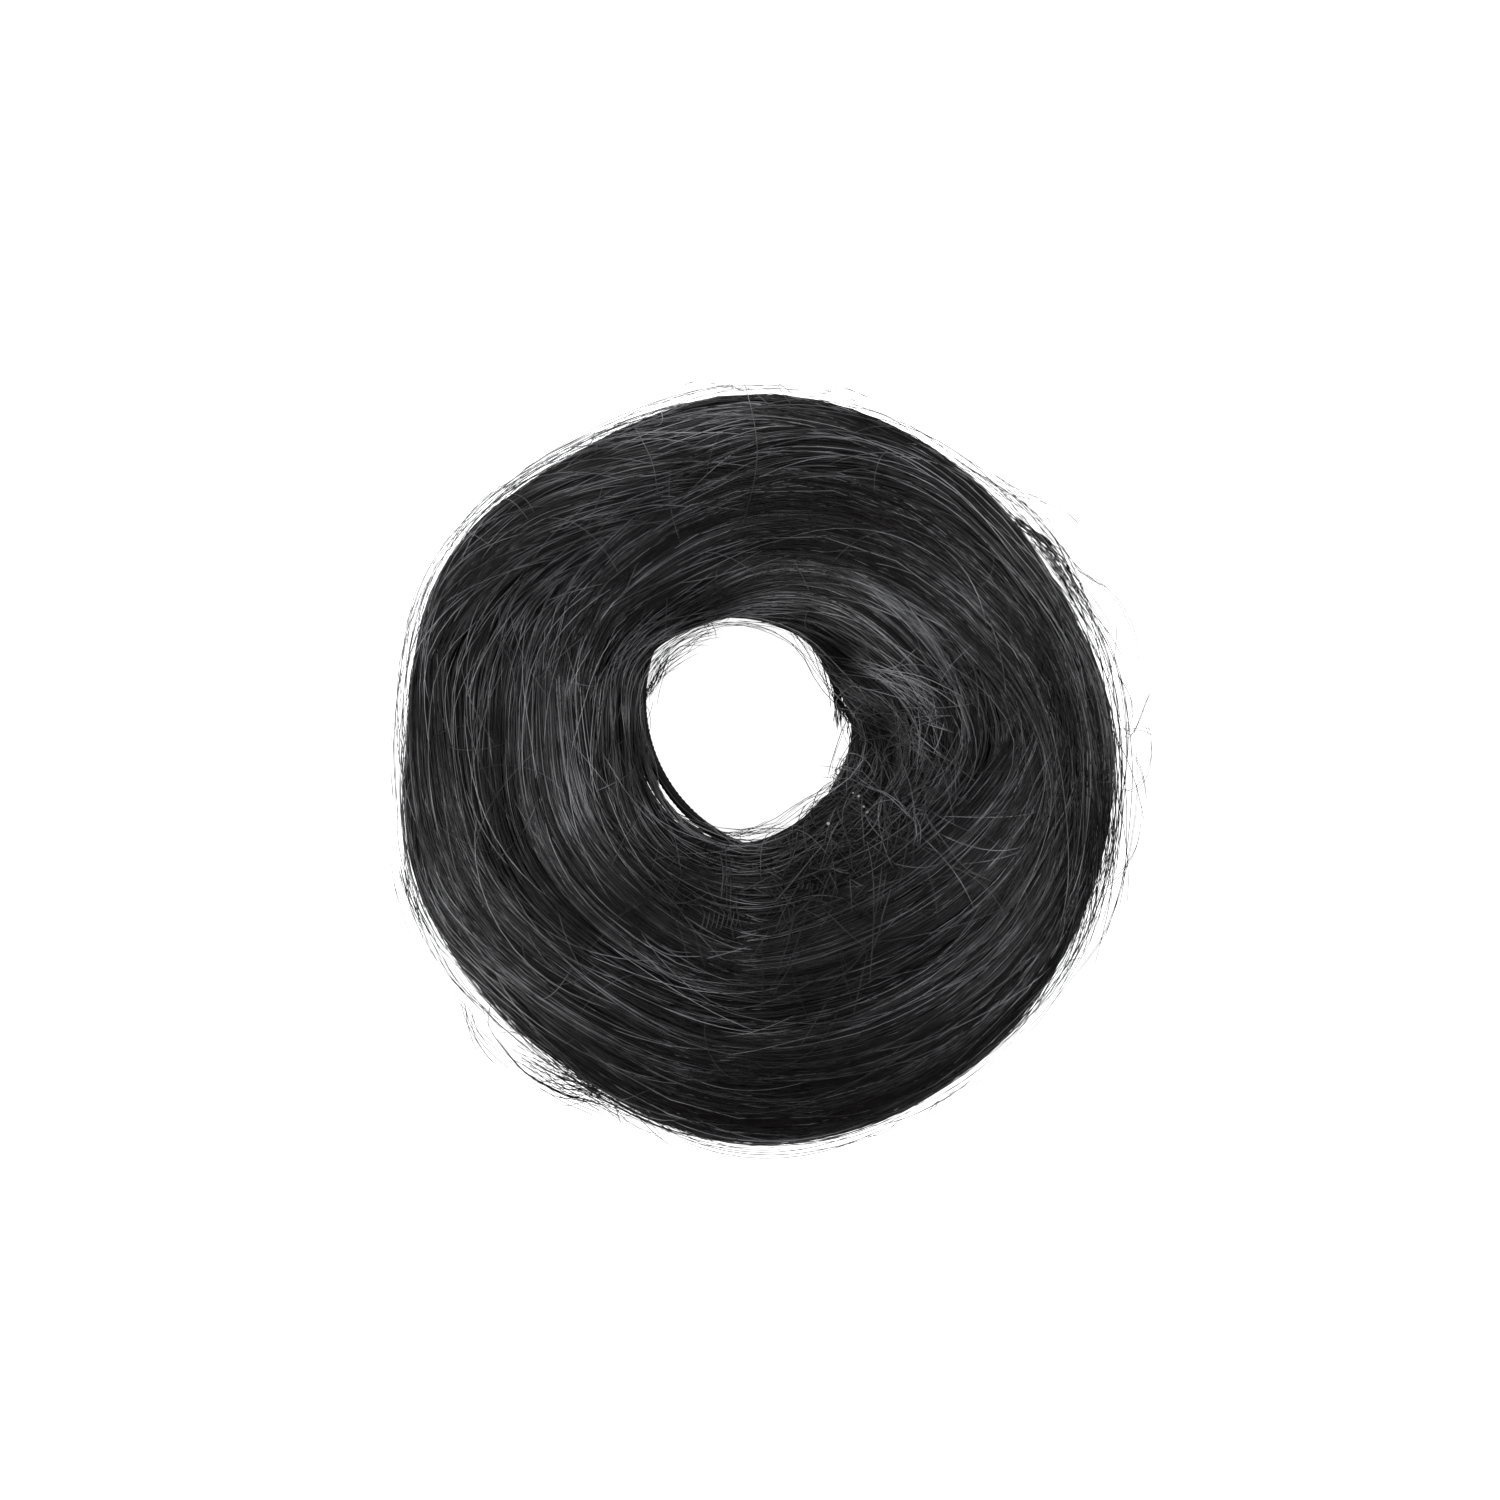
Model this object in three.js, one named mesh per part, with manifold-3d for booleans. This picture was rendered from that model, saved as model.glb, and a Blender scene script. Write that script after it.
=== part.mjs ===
// Top knot hairpiece: a ring of wound synthetic hair on a stretchy loop, lying flat.
// Millimetres, +Z up. The origin is the middle of the ring's outline, on the surface that it lies on.
// Angles are in degrees round the hole, from +X towards +Y. Turns are in degrees round the ring's
// section: 0 is the outer edge, 90 the crown, 180 the hole's edge and 270 the underside.
import * as THREE from "three";
import { mergeVertices } from "three/addons/utils/BufferGeometryUtils.js";
import Module from "manifold-3d";

const wasm = await Module();
wasm.setup();

// Ring of hair
const RING_WIDTH = 106;
const RING_LENGTH = 113;
const RING_HEIGHT = 33;
const HOLE_RADIUS = 16.8;
const HOLE_SHIFT_X = -1.4; // from the middle of the outline
const HOLE_SHIFT_Y = 6.7;
const FLAT_DEPTH = 1.4; // how much of the section's underside is pressed flat
const WINDINGS = 8; // wound locks round the section
const WINDING_DEPTH = 1.1; // crease between two wound locks

// Stretchy loop inside the ring, which shows on one side of the hole
const LOOP_THICKNESS = 1.6;
const LOOP_HEIGHT = 9.5;
const LOOP_BEARING = 26; // angle at which it runs deepest inside the ring
const LOOP_BURIED = 15.7; // behind the hole's edge there
const LOOP_SHOWN = 1.3; // in front of the hole's edge on the other side
const LOOP_CLEARANCE = 0.3;

// Loose locks that lie over the ring
const LAY_GAP = 0.3; // under hair that lies on hair
const LOCK_ROOT = 1.2; // how far a lock's section reaches down before it is trimmed to the ring
const LOCK_TIP = 0.16; // share of a lock's width and rise that its tips keep
const LOCK_SWELL = 0.6; // how quickly it swells from its tips, less being quicker

// Tuft of gathered ends
const TUFT_ANGLE = -42;
const TUFT_TURN = 126;
const TUFT_LENGTH = 24;
const TUFT_WIDTH = 9;
const TUFT_RISE = 1.8;
const END_LENGTH = 13;
const END_WIDTH = 2.4;
const END_RISE = 2.7;

// Facets
const RING_STEPS = 60;
const STEPS_PER_WINDING = 4;
const LOCK_STEP = 9; // degrees along a lock
const LOCK_SIDES = 8;
const TUFT_STEPS = 7;
const END_STEPS = 4;
const LOOP_STEPS = 44;
const LOOP_SIDES = 8;

const FULL_TURN = 360;
const WINDING_SPACING = FULL_TURN / WINDINGS;
const DIRECTION_STEP = 0.01; // share of a lock's length over which its direction is taken
const MERGE_DISTANCE = 1e-4;

// The ring at twelve angles round its hole. hole and edge are shares of the hole's radius and of the
// oval outline, height a share of the ring's height, and sway how far the windings have turned.
const SECTIONS = [
  { angle: 0, hole: 0.95, edge: 0.993, height: 0.97, sway: 0 },
  { angle: 30, hole: 0.87, edge: 0.965, height: 0.95, sway: 12 },
  { angle: 60, hole: 0.94, edge: 0.972, height: 0.93, sway: 32 },
  { angle: 90, hole: 0.99, edge: 0.98, height: 0.92, sway: 50 },
  { angle: 120, hole: 1.04, edge: 0.968, height: 0.93, sway: 40 },
  { angle: 150, hole: 1.1, edge: 1.035, height: 0.95, sway: 22 },
  { angle: 180, hole: 1.04, edge: 0.99, height: 0.96, sway: 10 },
  { angle: 210, hole: 1.08, edge: 1.0, height: 0.97, sway: 22 },
  { angle: 240, hole: 1.11, edge: 0.955, height: 0.98, sway: 30 },
  { angle: 270, hole: 1.1, edge: 0.99, height: 1.0, sway: 36 },
  { angle: 300, hole: 0.98, edge: 0.99, height: 1.0, sway: 36 },
  { angle: 330, hole: 0.95, edge: 0.99, height: 0.98, sway: 14 },
];

// Each lock runs from one angle to another, over three turns of the section. Width and rise are shares
// of the ring's height. A lock lies over the ones below it in the table.
const LOCKS = [
  { name: "crown_lock", from: 178, to: -10, turns: [120, 97, 52], width: 0.42, rise: 0.075 },
  { name: "lower_right_lock", from: 2, to: -94, turns: [58, 95, 105], width: 0.4, rise: 0.065 },
  { name: "inner_left_lock", from: 158, to: 272, turns: [106, 112, 106], width: 0.4, rise: 0.065 },
  { name: "inner_right_lock", from: 116, to: 6, turns: [160, 126, 108], width: 0.3, rise: 0.06 },
  { name: "upper_left_lock", from: 176, to: 96, turns: [22, 60, 82], width: 0.34, rise: 0.06 },
  { name: "outer_left_lock", from: 268, to: 148, turns: [64, 50, 16], width: 0.34, rise: 0.06 },
  { name: "lower_lock", from: -8, to: -92, turns: [42, 60, 70], width: 0.32, rise: 0.06 },
  { name: "outer_top_lock", from: 136, to: 14, turns: [12, 30, 16], width: 0.28, rise: 0.055 },
  { name: "outer_right_lock", from: 2, to: -118, turns: [14, 34, 38], width: 0.32, rise: 0.06 },
];

// The ends that cross in the tuft. along and across place an end's middle, as shares of the tuft's
// length and width, and heading is its direction in degrees, 0 along the tuft and 90 towards the hole.
const TUFT_ENDS = [
  { along: -0.3, across: 0.1, heading: 24, length: 1.0 },
  { along: -0.22, across: -0.2, heading: 142, length: 0.9 },
  { along: -0.08, across: 0.2, heading: 168, length: 1.1 },
  { along: 0.0, across: 0.0, heading: 64, length: 0.9 },
  { along: 0.08, across: -0.2, heading: 12, length: 1.1 },
  { along: 0.16, across: 0.2, heading: 118, length: 0.85 },
  { along: 0.26, across: 0.0, heading: 38, length: 0.95 },
  { along: 0.32, across: -0.1, heading: 156, length: 0.9 },
];

const radians = THREE.MathUtils.degToRad;

// A smooth curve through one column of SECTIONS, all the way round
function roundColumn(column, angle) {
  const count = SECTIONS.length;
  const place = (angle * count) / FULL_TURN;
  const row = Math.floor(place);
  const share = place - row;
  const value = (index) => SECTIONS[THREE.MathUtils.euclideanModulo(index, count)][column];
  const [a, b, c, d] = [row - 1, row, row + 1, row + 2].map(value);
  const slopeIn = (c - a) / 2;
  const slopeOut = (d - b) / 2;
  const bend = 2 * (b - c) + slopeIn + slopeOut;
  const lean = 3 * (c - b) - 2 * slopeIn - slopeOut;
  return b + share * (slopeIn + share * (lean + share * bend));
}

// How far the oval outline lies from the hole's middle
function ovalReach(angle) {
  const across = Math.cos(radians(angle));
  const along = Math.sin(radians(angle));
  const a = RING_WIDTH / 2;
  const b = RING_LENGTH / 2;
  const square = (across / a) ** 2 + (along / b) ** 2;
  const half = (across * HOLE_SHIFT_X) / a ** 2 + (along * HOLE_SHIFT_Y) / b ** 2;
  const rest = (HOLE_SHIFT_X / a) ** 2 + (HOLE_SHIFT_Y / b) ** 2 - 1;
  return (Math.sqrt(half ** 2 - square * rest) - half) / square;
}

// The ring's section at an angle: its middle's distance from the hole's middle, and its half sizes
function sectionAt(angle) {
  const hole = HOLE_RADIUS * roundColumn("hole", angle);
  const edge = ovalReach(angle) * roundColumn("edge", angle);
  const halfHeight = (RING_HEIGHT * roundColumn("height", angle) + FLAT_DEPTH) / 2;
  return { middle: (hole + edge) / 2, halfWidth: (edge - hole) / 2, halfHeight };
}

// Depth of the creases between the wound locks, 0 on a lock's crown
function creaseAt(angle, turn) {
  const place = (turn - roundColumn("sway", angle)) / WINDING_SPACING;
  const off = 2 * (place - Math.round(place));
  return WINDING_DEPTH * (1 - Math.sqrt(1 - off ** 2));
}

// A point on the ring, lifted off its section by lift
function ringPoint(angle, turn, lift) {
  const { middle, halfWidth, halfHeight } = sectionAt(angle);
  const across = Math.cos(radians(turn));
  const up = Math.sin(radians(turn));
  const normal = new THREE.Vector2(across / halfWidth, up / halfHeight).normalize();
  const reach = middle + halfWidth * across + normal.x * lift;
  return new THREE.Vector3(
    HOLE_SHIFT_X + reach * Math.cos(radians(angle)),
    HOLE_SHIFT_Y + reach * Math.sin(radians(angle)),
    halfHeight * (1 + up) - FLAT_DEPTH + normal.y * lift,
  );
}

// Millimetres in a degree of angle and in a degree of turn, on the ring's surface
function surfaceScale(angle, turn) {
  const { middle, halfWidth, halfHeight } = sectionAt(angle);
  return {
    perAngle: radians(middle + halfWidth * Math.cos(radians(turn))),
    perTurn: radians((halfWidth + halfHeight) / 2),
  };
}

// A skin over rows of points, which run anticlockwise when seen from ahead
function skin(rows) {
  const sides = rows[0].length;
  const faces = [];
  for (let here = 0; here < (rows.length - 1) * sides; here += sides) {
    for (let side = 0; side < sides; side += 1) {
      const beside = (side + 1) % sides;
      faces.push(here + side, here + beside, here + sides + beside);
      faces.push(here + side, here + sides + beside, here + sides + side);
    }
  }
  const geometry = new THREE.BufferGeometry().setFromPoints(rows.flat());
  geometry.setIndex(faces);
  return geometry;
}

// Closes both ends of a skin over rows
function cap(geometry, rows) {
  const sides = rows[0].length;
  const end = (rows.length - 1) * sides;
  const faces = Array.from(geometry.index.array);
  for (let side = 1; side < sides - 1; side += 1) {
    faces.push(0, side + 1, side);
    faces.push(end, end + side, end + side + 1);
  }
  geometry.setIndex(faces);
  return geometry;
}

function toSolid(geometry) {
  geometry.deleteAttribute("normal");
  geometry.deleteAttribute("uv");
  const merged = mergeVertices(geometry, MERGE_DISTANCE);
  const mesh = new wasm.Mesh({
    numProp: 3,
    vertProperties: merged.getAttribute("position").array,
    triVerts: new Uint32Array(merged.index.array),
  });
  return new wasm.Manifold(mesh);
}

function toGeometry(solid) {
  const mesh = solid.getMesh();
  const geometry = new THREE.BufferGeometry();
  geometry.setAttribute("position", new THREE.BufferAttribute(mesh.vertProperties, 3));
  geometry.setIndex(new THREE.BufferAttribute(mesh.triVerts, 1));
  const faceted = geometry.toNonIndexed();
  faceted.computeVertexNormals();
  return faceted;
}

// A trim can leave crumbs at a feathered edge, so a trimmed piece is its largest body.
function trim(solid, cutter) {
  const bodies = solid.subtract(cutter).decompose();
  return bodies.reduce((best, body) => (body.volume() > best.volume() ? body : best));
}

// The wound ring, flat underneath, grown all over by grow. Its last row lies on its first one.
function ringSolid(grow = 0) {
  const sides = WINDINGS * STEPS_PER_WINDING;
  const rows = Array.from({ length: RING_STEPS + 1 }, (_, step) => {
    const angle = (-step * FULL_TURN) / RING_STEPS;
    return Array.from({ length: sides }, (__, side) => {
      const turn = (side * FULL_TURN) / sides + roundColumn("sway", angle);
      const point = ringPoint(angle, turn, grow - creaseAt(angle, turn));
      return point.setZ(Math.max(point.z, -grow));
    });
  });
  return toSolid(skin(rows));
}

// A lock laid over the ring. path gives its angle and turn at a share of its length, and shape its
// width and rise there.
function lockSolid(path, shape, steps, grow = 0) {
  const rows = Array.from({ length: steps + 1 }, (_, step) => {
    const share = step / steps;
    const here = path(share);
    const ahead = path(share + DIRECTION_STEP);
    const { perAngle, perTurn } = surfaceScale(here.angle, here.turn);
    const along = new THREE.Vector2(
      (ahead.angle - here.angle) * perAngle,
      (ahead.turn - here.turn) * perTurn,
    ).normalize();
    const { width, rise } = shape(share);
    return Array.from({ length: LOCK_SIDES }, (__, side) => {
      const round = radians((side * FULL_TURN) / LOCK_SIDES);
      const across = Math.cos(round) * (width / 2 + grow);
      const up = Math.sin(round);
      const lift = up > 0 ? up * (rise + grow) : up * LOCK_ROOT;
      const angle = here.angle - (along.y * across) / perAngle;
      const turn = here.turn + (along.x * across) / perTurn;
      return ringPoint(angle, turn, lift);
    });
  });
  return toSolid(cap(skin(rows), rows));
}

const swell = (share) => LOCK_TIP + (1 - LOCK_TIP) * Math.sin(Math.PI * share) ** LOCK_SWELL;

// A shape that swells from its tips to the width and rise of its middle
const swollen = (width, rise) => (share) => ({ width: width * swell(share), rise: rise * swell(share) });

// A long lock, from its row in LOCKS
function longLock({ from, to, turns, width, rise }, grow = 0) {
  const path = (share) => {
    const start = turns[0] * (1 - share) * (1 - 2 * share);
    const middle = turns[1] * 4 * share * (1 - share);
    const end = turns[2] * share * (2 * share - 1);
    return { angle: from + (to - from) * share, turn: start + middle + end };
  };
  const shape = swollen(RING_HEIGHT * width, RING_HEIGHT * rise);
  return lockSolid(path, shape, Math.ceil(Math.abs(to - from) / LOCK_STEP), grow);
}

// A straight path on the ring, placed by its middle in millimetres along and across the tuft
function tuftPath(along, across, heading, length) {
  const { perAngle, perTurn } = surfaceScale(TUFT_ANGLE, TUFT_TURN);
  return (share) => {
    const distance = length * (share - 0.5);
    return {
      angle: TUFT_ANGLE + (along + distance * Math.cos(radians(heading))) / perAngle,
      turn: TUFT_TURN + (across + distance * Math.sin(radians(heading))) / perTurn,
    };
  };
}

// The tuft: a low pad, and the ends that cross on it
function tuftSolid() {
  const pad = lockSolid(tuftPath(0, 0, 0, TUFT_LENGTH), swollen(TUFT_WIDTH, TUFT_RISE), TUFT_STEPS);
  return TUFT_ENDS.reduce((tuft, { along, across, heading, length }) => {
    const path = tuftPath(along * TUFT_LENGTH, across * TUFT_WIDTH, heading, length * END_LENGTH);
    return tuft.add(lockSolid(path, swollen(END_WIDTH, END_RISE), END_STEPS));
  }, pad);
}

// The loop touches the hole's edge off centre, deepest in the ring at its bearing.
const LOOP_RADIUS = HOLE_RADIUS + (LOOP_BURIED - LOOP_SHOWN) / 2;
const LOOP_SHIFT = (LOOP_BURIED + LOOP_SHOWN) / 2;

const loopGeometry = (radius) => new THREE.TorusGeometry(LOOP_RADIUS, radius, LOOP_SIDES, LOOP_STEPS);

const hair = new THREE.MeshStandardMaterial({ color: 0x232223, roughness: 0.42, metalness: 0 });
const elastic = new THREE.MeshStandardMaterial({ color: 0x141414, roughness: 0.75, metalness: 0 });

const hairpiece = new THREE.Group();

function addPiece(name, geometry, material) {
  const mesh = new THREE.Mesh(geometry, material);
  mesh.name = name;
  hairpiece.add(mesh);
  return mesh;
}

const loop = addPiece("elastic_loop", loopGeometry(LOOP_THICKNESS / 2), elastic);
loop.position.set(
  HOLE_SHIFT_X + LOOP_SHIFT * Math.cos(radians(LOOP_BEARING)),
  HOLE_SHIFT_Y + LOOP_SHIFT * Math.sin(radians(LOOP_BEARING)),
  LOOP_HEIGHT,
);

const channel = toSolid(loopGeometry(LOOP_THICKNESS / 2 + LOOP_CLEARANCE)).translate(loop.position.toArray());
addPiece("hair_ring", toGeometry(trim(ringSolid(), channel)), hair);

// Each lock is trimmed to the ring and to the locks laid before it.
let laid = ringSolid(LAY_GAP).add(channel);
for (const row of LOCKS) {
  addPiece(row.name, toGeometry(trim(longLock(row), laid)), hair);
  laid = laid.add(longLock(row, LAY_GAP));
}
addPiece("end_tuft", toGeometry(trim(tuftSolid(), laid)), hair);

export default hairpiece;
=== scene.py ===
import math

import bpy
import numpy as np
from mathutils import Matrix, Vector


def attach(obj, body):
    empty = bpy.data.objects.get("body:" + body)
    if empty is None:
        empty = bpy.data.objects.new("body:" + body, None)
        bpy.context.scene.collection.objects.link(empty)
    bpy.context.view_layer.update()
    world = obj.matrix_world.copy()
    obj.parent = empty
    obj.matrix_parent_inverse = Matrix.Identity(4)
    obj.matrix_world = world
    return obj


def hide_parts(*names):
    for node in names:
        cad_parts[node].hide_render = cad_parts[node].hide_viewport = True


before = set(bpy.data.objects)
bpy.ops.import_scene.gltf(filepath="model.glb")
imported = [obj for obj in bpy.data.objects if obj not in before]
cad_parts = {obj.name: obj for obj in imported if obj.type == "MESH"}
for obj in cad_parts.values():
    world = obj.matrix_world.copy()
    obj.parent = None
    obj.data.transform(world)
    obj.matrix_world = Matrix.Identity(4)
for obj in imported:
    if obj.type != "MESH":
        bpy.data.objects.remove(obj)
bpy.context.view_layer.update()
chance = np.random.default_rng(682)

MM = 0.001
BODY = "root"

# The photograph's view: straight down, 0.15 mm a pixel halfway up the ring
PHOTO_PIXELS = 1500
PIXEL = 0.15
MIDDLE_PIXEL = (758.5, 768.5)
HALF_UP = 16.5
LENS = 100
SENSOR = 36

# The ring, in millimetres, as the solids have it
RING_WIDTH = 106
RING_LENGTH = 113
RING_HEIGHT = 33
HOLE_RADIUS = 16.8
HOLE_SHIFT = (-1.4, 6.7)
FLAT_DEPTH = 1.4
WINDINGS = 8
WINDING_DEPTH = 1.1
SECTIONS = 12
HOLE_SHARES = (0.95, 0.87, 0.94, 0.99, 1.04, 1.1, 1.04, 1.08, 1.11, 1.1, 0.98, 0.95)
EDGE_SHARES = (0.993, 0.965, 0.972, 0.98, 0.968, 1.035, 0.99, 1.0, 0.955, 0.99, 0.99, 0.99)
HEIGHT_SHARES = (0.97, 0.95, 0.93, 0.92, 0.93, 0.95, 0.96, 0.97, 0.98, 1.0, 1.0, 0.98)
SWAYS = (0, 12, 32, 50, 40, 22, 10, 22, 30, 36, 36, 14)

# The elastic loop
LOOP_RADIUS = 24.0
LOOP_MIDDLE = (6.24, 10.426, 9.5)

# Each lock: name, the angles that it runs between, three turns, and its width and rise in millimetres.
# An earlier lock lies over a later one.
LOCKS = (
    ("crown_lock", 178, -10, (120, 97, 52), 13.9, 2.5),
    ("lower_right_lock", 2, -94, (58, 95, 105), 13.2, 2.15),
    ("inner_left_lock", 158, 272, (106, 112, 106), 13.2, 2.15),
    ("inner_right_lock", 116, 6, (160, 126, 108), 9.9, 2.0),
    ("upper_left_lock", 176, 96, (22, 60, 82), 11.2, 2.0),
    ("outer_left_lock", 268, 148, (64, 50, 16), 11.2, 2.0),
    ("lower_lock", -8, -92, (42, 60, 70), 10.6, 2.0),
    ("outer_top_lock", 136, 14, (12, 30, 16), 9.2, 1.8),
    ("outer_right_lock", 2, -118, (14, 34, 38), 10.6, 2.0),
)

# How the hair runs on the ring's upper side: lines of angle and turn
FLOW_LINES = (
    ((158, 22), (143, 0), (125, 0), (106, 23), (88, 26)),
    ((161, 29), (146, 50), (131, 58), (118, 68), (102, 82)),
    ((164, 80), (154, 83), (145, 84), (135, 90)),
    ((164, 102), (148, 104), (131, 100), (113, 91), (99, 85), (87, 77)),
    ((159, 130), (141, 130), (124, 130), (98, 128)),
    ((148, 155), (128, 167), (107, 163), (85, 155)),
    ((92, 80), (75, 67), (60, 54), (45, 40), (26, 32), (12, 30)),
    ((93, 106), (65, 90), (46, 79), (26, 67), (12, 63), (-1, 57)),
    ((93, 127), (69, 108), (48, 95), (28, 86), (10, 83), (-4, 78)),
    ((94, 146), (74, 130), (52, 116), (33, 109), (13, 105), (-2, 107)),
    ((37, 139), (18, 122), (4, 109)),
    ((92, 38), (73, 28), (59, 18), (43, 19), (29, 24), (16, 5)),
    ((189, 17), (209, 0), (225, 18), (244, 10), (262, 1)),
    ((180, 31), (199, 47), (219, 54), (235, 56), (250, 64), (268, 66)),
    ((177, 74), (197, 76), (215, 79), (233, 82), (254, 86), (273, 86)),
    ((177, 99), (194, 99), (214, 99), (235, 97), (255, 100), (274, 101)),
    ((176, 126), (202, 126), (225, 120), (244, 114), (260, 113)),
    ((174, 160), (205, 165), (230, 149), (255, 152), (277, 147)),
    ((239, 36), (253, 39), (269, 45), (284, 43)),
    ((-9, 76), (-26, 97), (-40, 103), (-57, 108), (-64, 110)),
    ((-10, 58), (-24, 70), (-38, 81), (-50, 89), (-68, 98)),
    ((-16, 48), (-25, 49), (-37, 53), (-48, 62), (-61, 68), (-73, 72)),
    ((-11, 22), (-26, 12), (-38, 23), (-50, 37), (-64, 40), (-76, 43)),
)
FLOW_REACH = 5.0  # millimetres over which a line leads the hair beside it
FLOW_GRID = 4  # degrees between the places where the flow is worked out
SWAY_WEIGHT = 0.03  # how much the windings lead it where no line is near

# Painted highlight and painted shade in the hair's colour: paler where highlights fall, deeper black in
# shaded bands, creases and the hole's walls. Pixel, reach in pixels, and its share of the usual tone
PAINTED_LIGHT_AND_SHADE_PATCHES = (
    (777, 526, 60, 0.5), (862, 508, 34, 0.65), (655, 590, 30, 0.65), (492, 577, 36, 0.5),
    (528, 503, 32, 0.45), (574, 556, 34, 0.55), (1048, 705, 32, 0.75), (844, 648, 24, 0.2),
    (718, 598, 18, 0.3), (683, 610, 14, 0.5), (806, 614, 16, 0.5), (632, 522, 26, 0.6),
    (876, 728, 22, 0.4), (634, 752, 24, 0.3), (641, 788, 20, 0.4),
    (640, 900, 34, 0.5), (686, 880, 30, 0.55), (822, 872, 50, 0.6), (810, 950, 40, 0.55),
    (749, 968, 28, 0.6), (867, 928, 28, 0.55), (905, 884, 28, 0.7), (900, 765, 26, 0.75),
    (749, 1084, 60, 0.55), (845, 1074, 60, 0.5), (800, 1005, 44, 0.8), (930, 1040, 40, 0.6),
    (625, 1062, 34, 0.75), (560, 965, 26, 0.8), (588, 1045, 38, 0.5), (512, 655, 24, 0.65),
    (535, 600, 24, 0.6), (598, 463, 30, 0.55),
    (682, 474, 32, 0.7), (620, 689, 16, 0.6), (705, 908, 26, 0.75),
    (502, 724, 16, 0.4), (500, 765, 10, 0.2), (508, 800, 12, 0.15), (522, 836, 14, 0.15),
    (543, 873, 12, 0.15), (560, 898, 11, 0.2), (588, 925, 12, 0.35),
    (1097, 786, 7, 0.2), (1093, 824, 7, 0.2), (1087, 862, 7, 0.2), (1079, 900, 7, 0.25),
    (915, 625, 34, 1.7), (866, 620, 28, 2.1), (915, 700, 28, 1.1), (560, 745, 26, 1.25),
    (560, 810, 34, 1.6), (592, 785, 30, 1.7), (582, 690, 26, 1.4), (618, 958, 28, 1.8),
    (596, 877, 20, 1.4), (675, 985, 26, 1.3), (903, 456, 26, 1.3), (718, 420, 30, 1.15),
    (830, 423, 26, 1.25), (965, 600, 36, 1.7), (985, 858, 30, 1.2), (1072, 885, 26, 1.5),
    (503, 965, 32, 1.35), (434, 808, 24, 1.3), (452, 895, 26, 1.5),
)

SPINE = 33  # points along the middle of a clump of hair
STRAND = 12  # points along a strand
LONG_HAIR = 18  # points along a hair that is drawn or leaves the outline
SHORT_HAIR = 8  # points along a hair of the fringe
LOWEST = 0.2  # millimetres from the table to the middle of the lowest strands
CORE_LOWEST = 0.3  # and to the mass of hair that they cover
CORE_SINK = 0.35  # how far under the ring's surface that mass lies

# The strands' looks: radii in millimetres, and tones from 0 for deep black to 1 for grey
FINE_SHARE = 0.2
FINE_RADIUS = (0.052, 0.075)
USUAL_RADIUS = (0.062, 0.11)
USUAL_TONE = 0.175
CLUMP_TONE_SPREAD = 0.07
STRAND_TONE_SPREAD = 0.12
# How much paler a fine hair's colour is painted where it glints, as a painted highlight
PAINTED_GLINT = (0.35, 1.1)

# Clumps of the ring's hair
CLUMP_BASE = -0.2  # lift of their flat side
CLUMP_RAGGED = 0.55  # share of a clump's length that a strand can be short by at each end
QUARTER_REACH = 50  # degrees either way of a quarter's middle
HOLE_SHORTER = 0.35  # how much shorter the clumps are in the hole
CLUMPS = (  # clumps in a quarter, strands in each, and ranges of turn, length, width and rise
    (96, 18, (-8, 188), (34, 62), (2.4, 6.5), (0.25, 0.7)),
    (26, 10, (-165, -8), (45, 75), (6, 11), (0.1, 0.3)),
)

# The hair of the locks
LOCK_STRANDS = 38  # for each millimetre of width, in a lock that spans LOCK_SPAN degrees
LOCK_SPAN = 110
LOCK_STEP = 0.04  # how much higher a lock's hair lies than that of the lock after it
BUNDLE_WIDTH = 1.3
OVERRUN = 0.2  # share of a lock's length that its hair can run out past each tip
LOCK_RAGGED = 0.62  # share that a strand can be short by at each end
LEAST_SWELL = 0.16  # a lock's fullness at its tips


def smoothstep(low, high, value):
    share = np.clip((value - low) / (high - low), 0, 1)
    return share * share * (3 - 2 * share)


def arch(share, power=1):
    """Rises from 0 at both ends to 1 in the middle."""
    return np.sin(np.pi * share) ** power


# The form of the ring

def curve_between(a, b, c, d, share):
    """A smooth curve from b to c, between a and d."""
    slope_in, slope_out = (c - a) / 2, (d - b) / 2
    bend = 2 * (b - c) + slope_in + slope_out
    lean = 3 * (c - b) - 2 * slope_in - slope_out
    return b + share * (slope_in + share * (lean + share * bend))


def round_column(column, angle):
    """A smooth curve through twelve values, all the way round."""
    place = np.asarray(angle, float) * SECTIONS / 360
    row = np.floor(place)
    share = place - row
    row = row.astype(int)
    near = (np.asarray(column, float)[(row + step) % SECTIONS] for step in (-1, 0, 1, 2))
    return curve_between(*near, share)


def oval_reach(angle):
    """How far the oval outline lies from the hole's middle."""
    across = np.cos(np.radians(angle))
    along = np.sin(np.radians(angle))
    a, b = RING_WIDTH / 2, RING_LENGTH / 2
    x, y = HOLE_SHIFT
    square = (across / a) ** 2 + (along / b) ** 2
    half = across * x / a**2 + along * y / b**2
    rest = (x / a) ** 2 + (y / b) ** 2 - 1
    return (np.sqrt(half**2 - square * rest) - half) / square


def section_at(angle):
    """The section's middle, measured from the hole's middle, and its half width and half height."""
    hole = HOLE_RADIUS * round_column(HOLE_SHARES, angle)
    edge = oval_reach(angle) * round_column(EDGE_SHARES, angle)
    half_height = (RING_HEIGHT * round_column(HEIGHT_SHARES, angle) + FLAT_DEPTH) / 2
    return (hole + edge) / 2, (edge - hole) / 2, half_height


def crease_at(angle, turn):
    """Depth of the creases between the windings."""
    place = (turn - round_column(SWAYS, angle)) * WINDINGS / 360
    off = 2 * (place - np.round(place))
    return WINDING_DEPTH * (1 - np.sqrt(np.clip(1 - off**2, 0, 1)))


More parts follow.
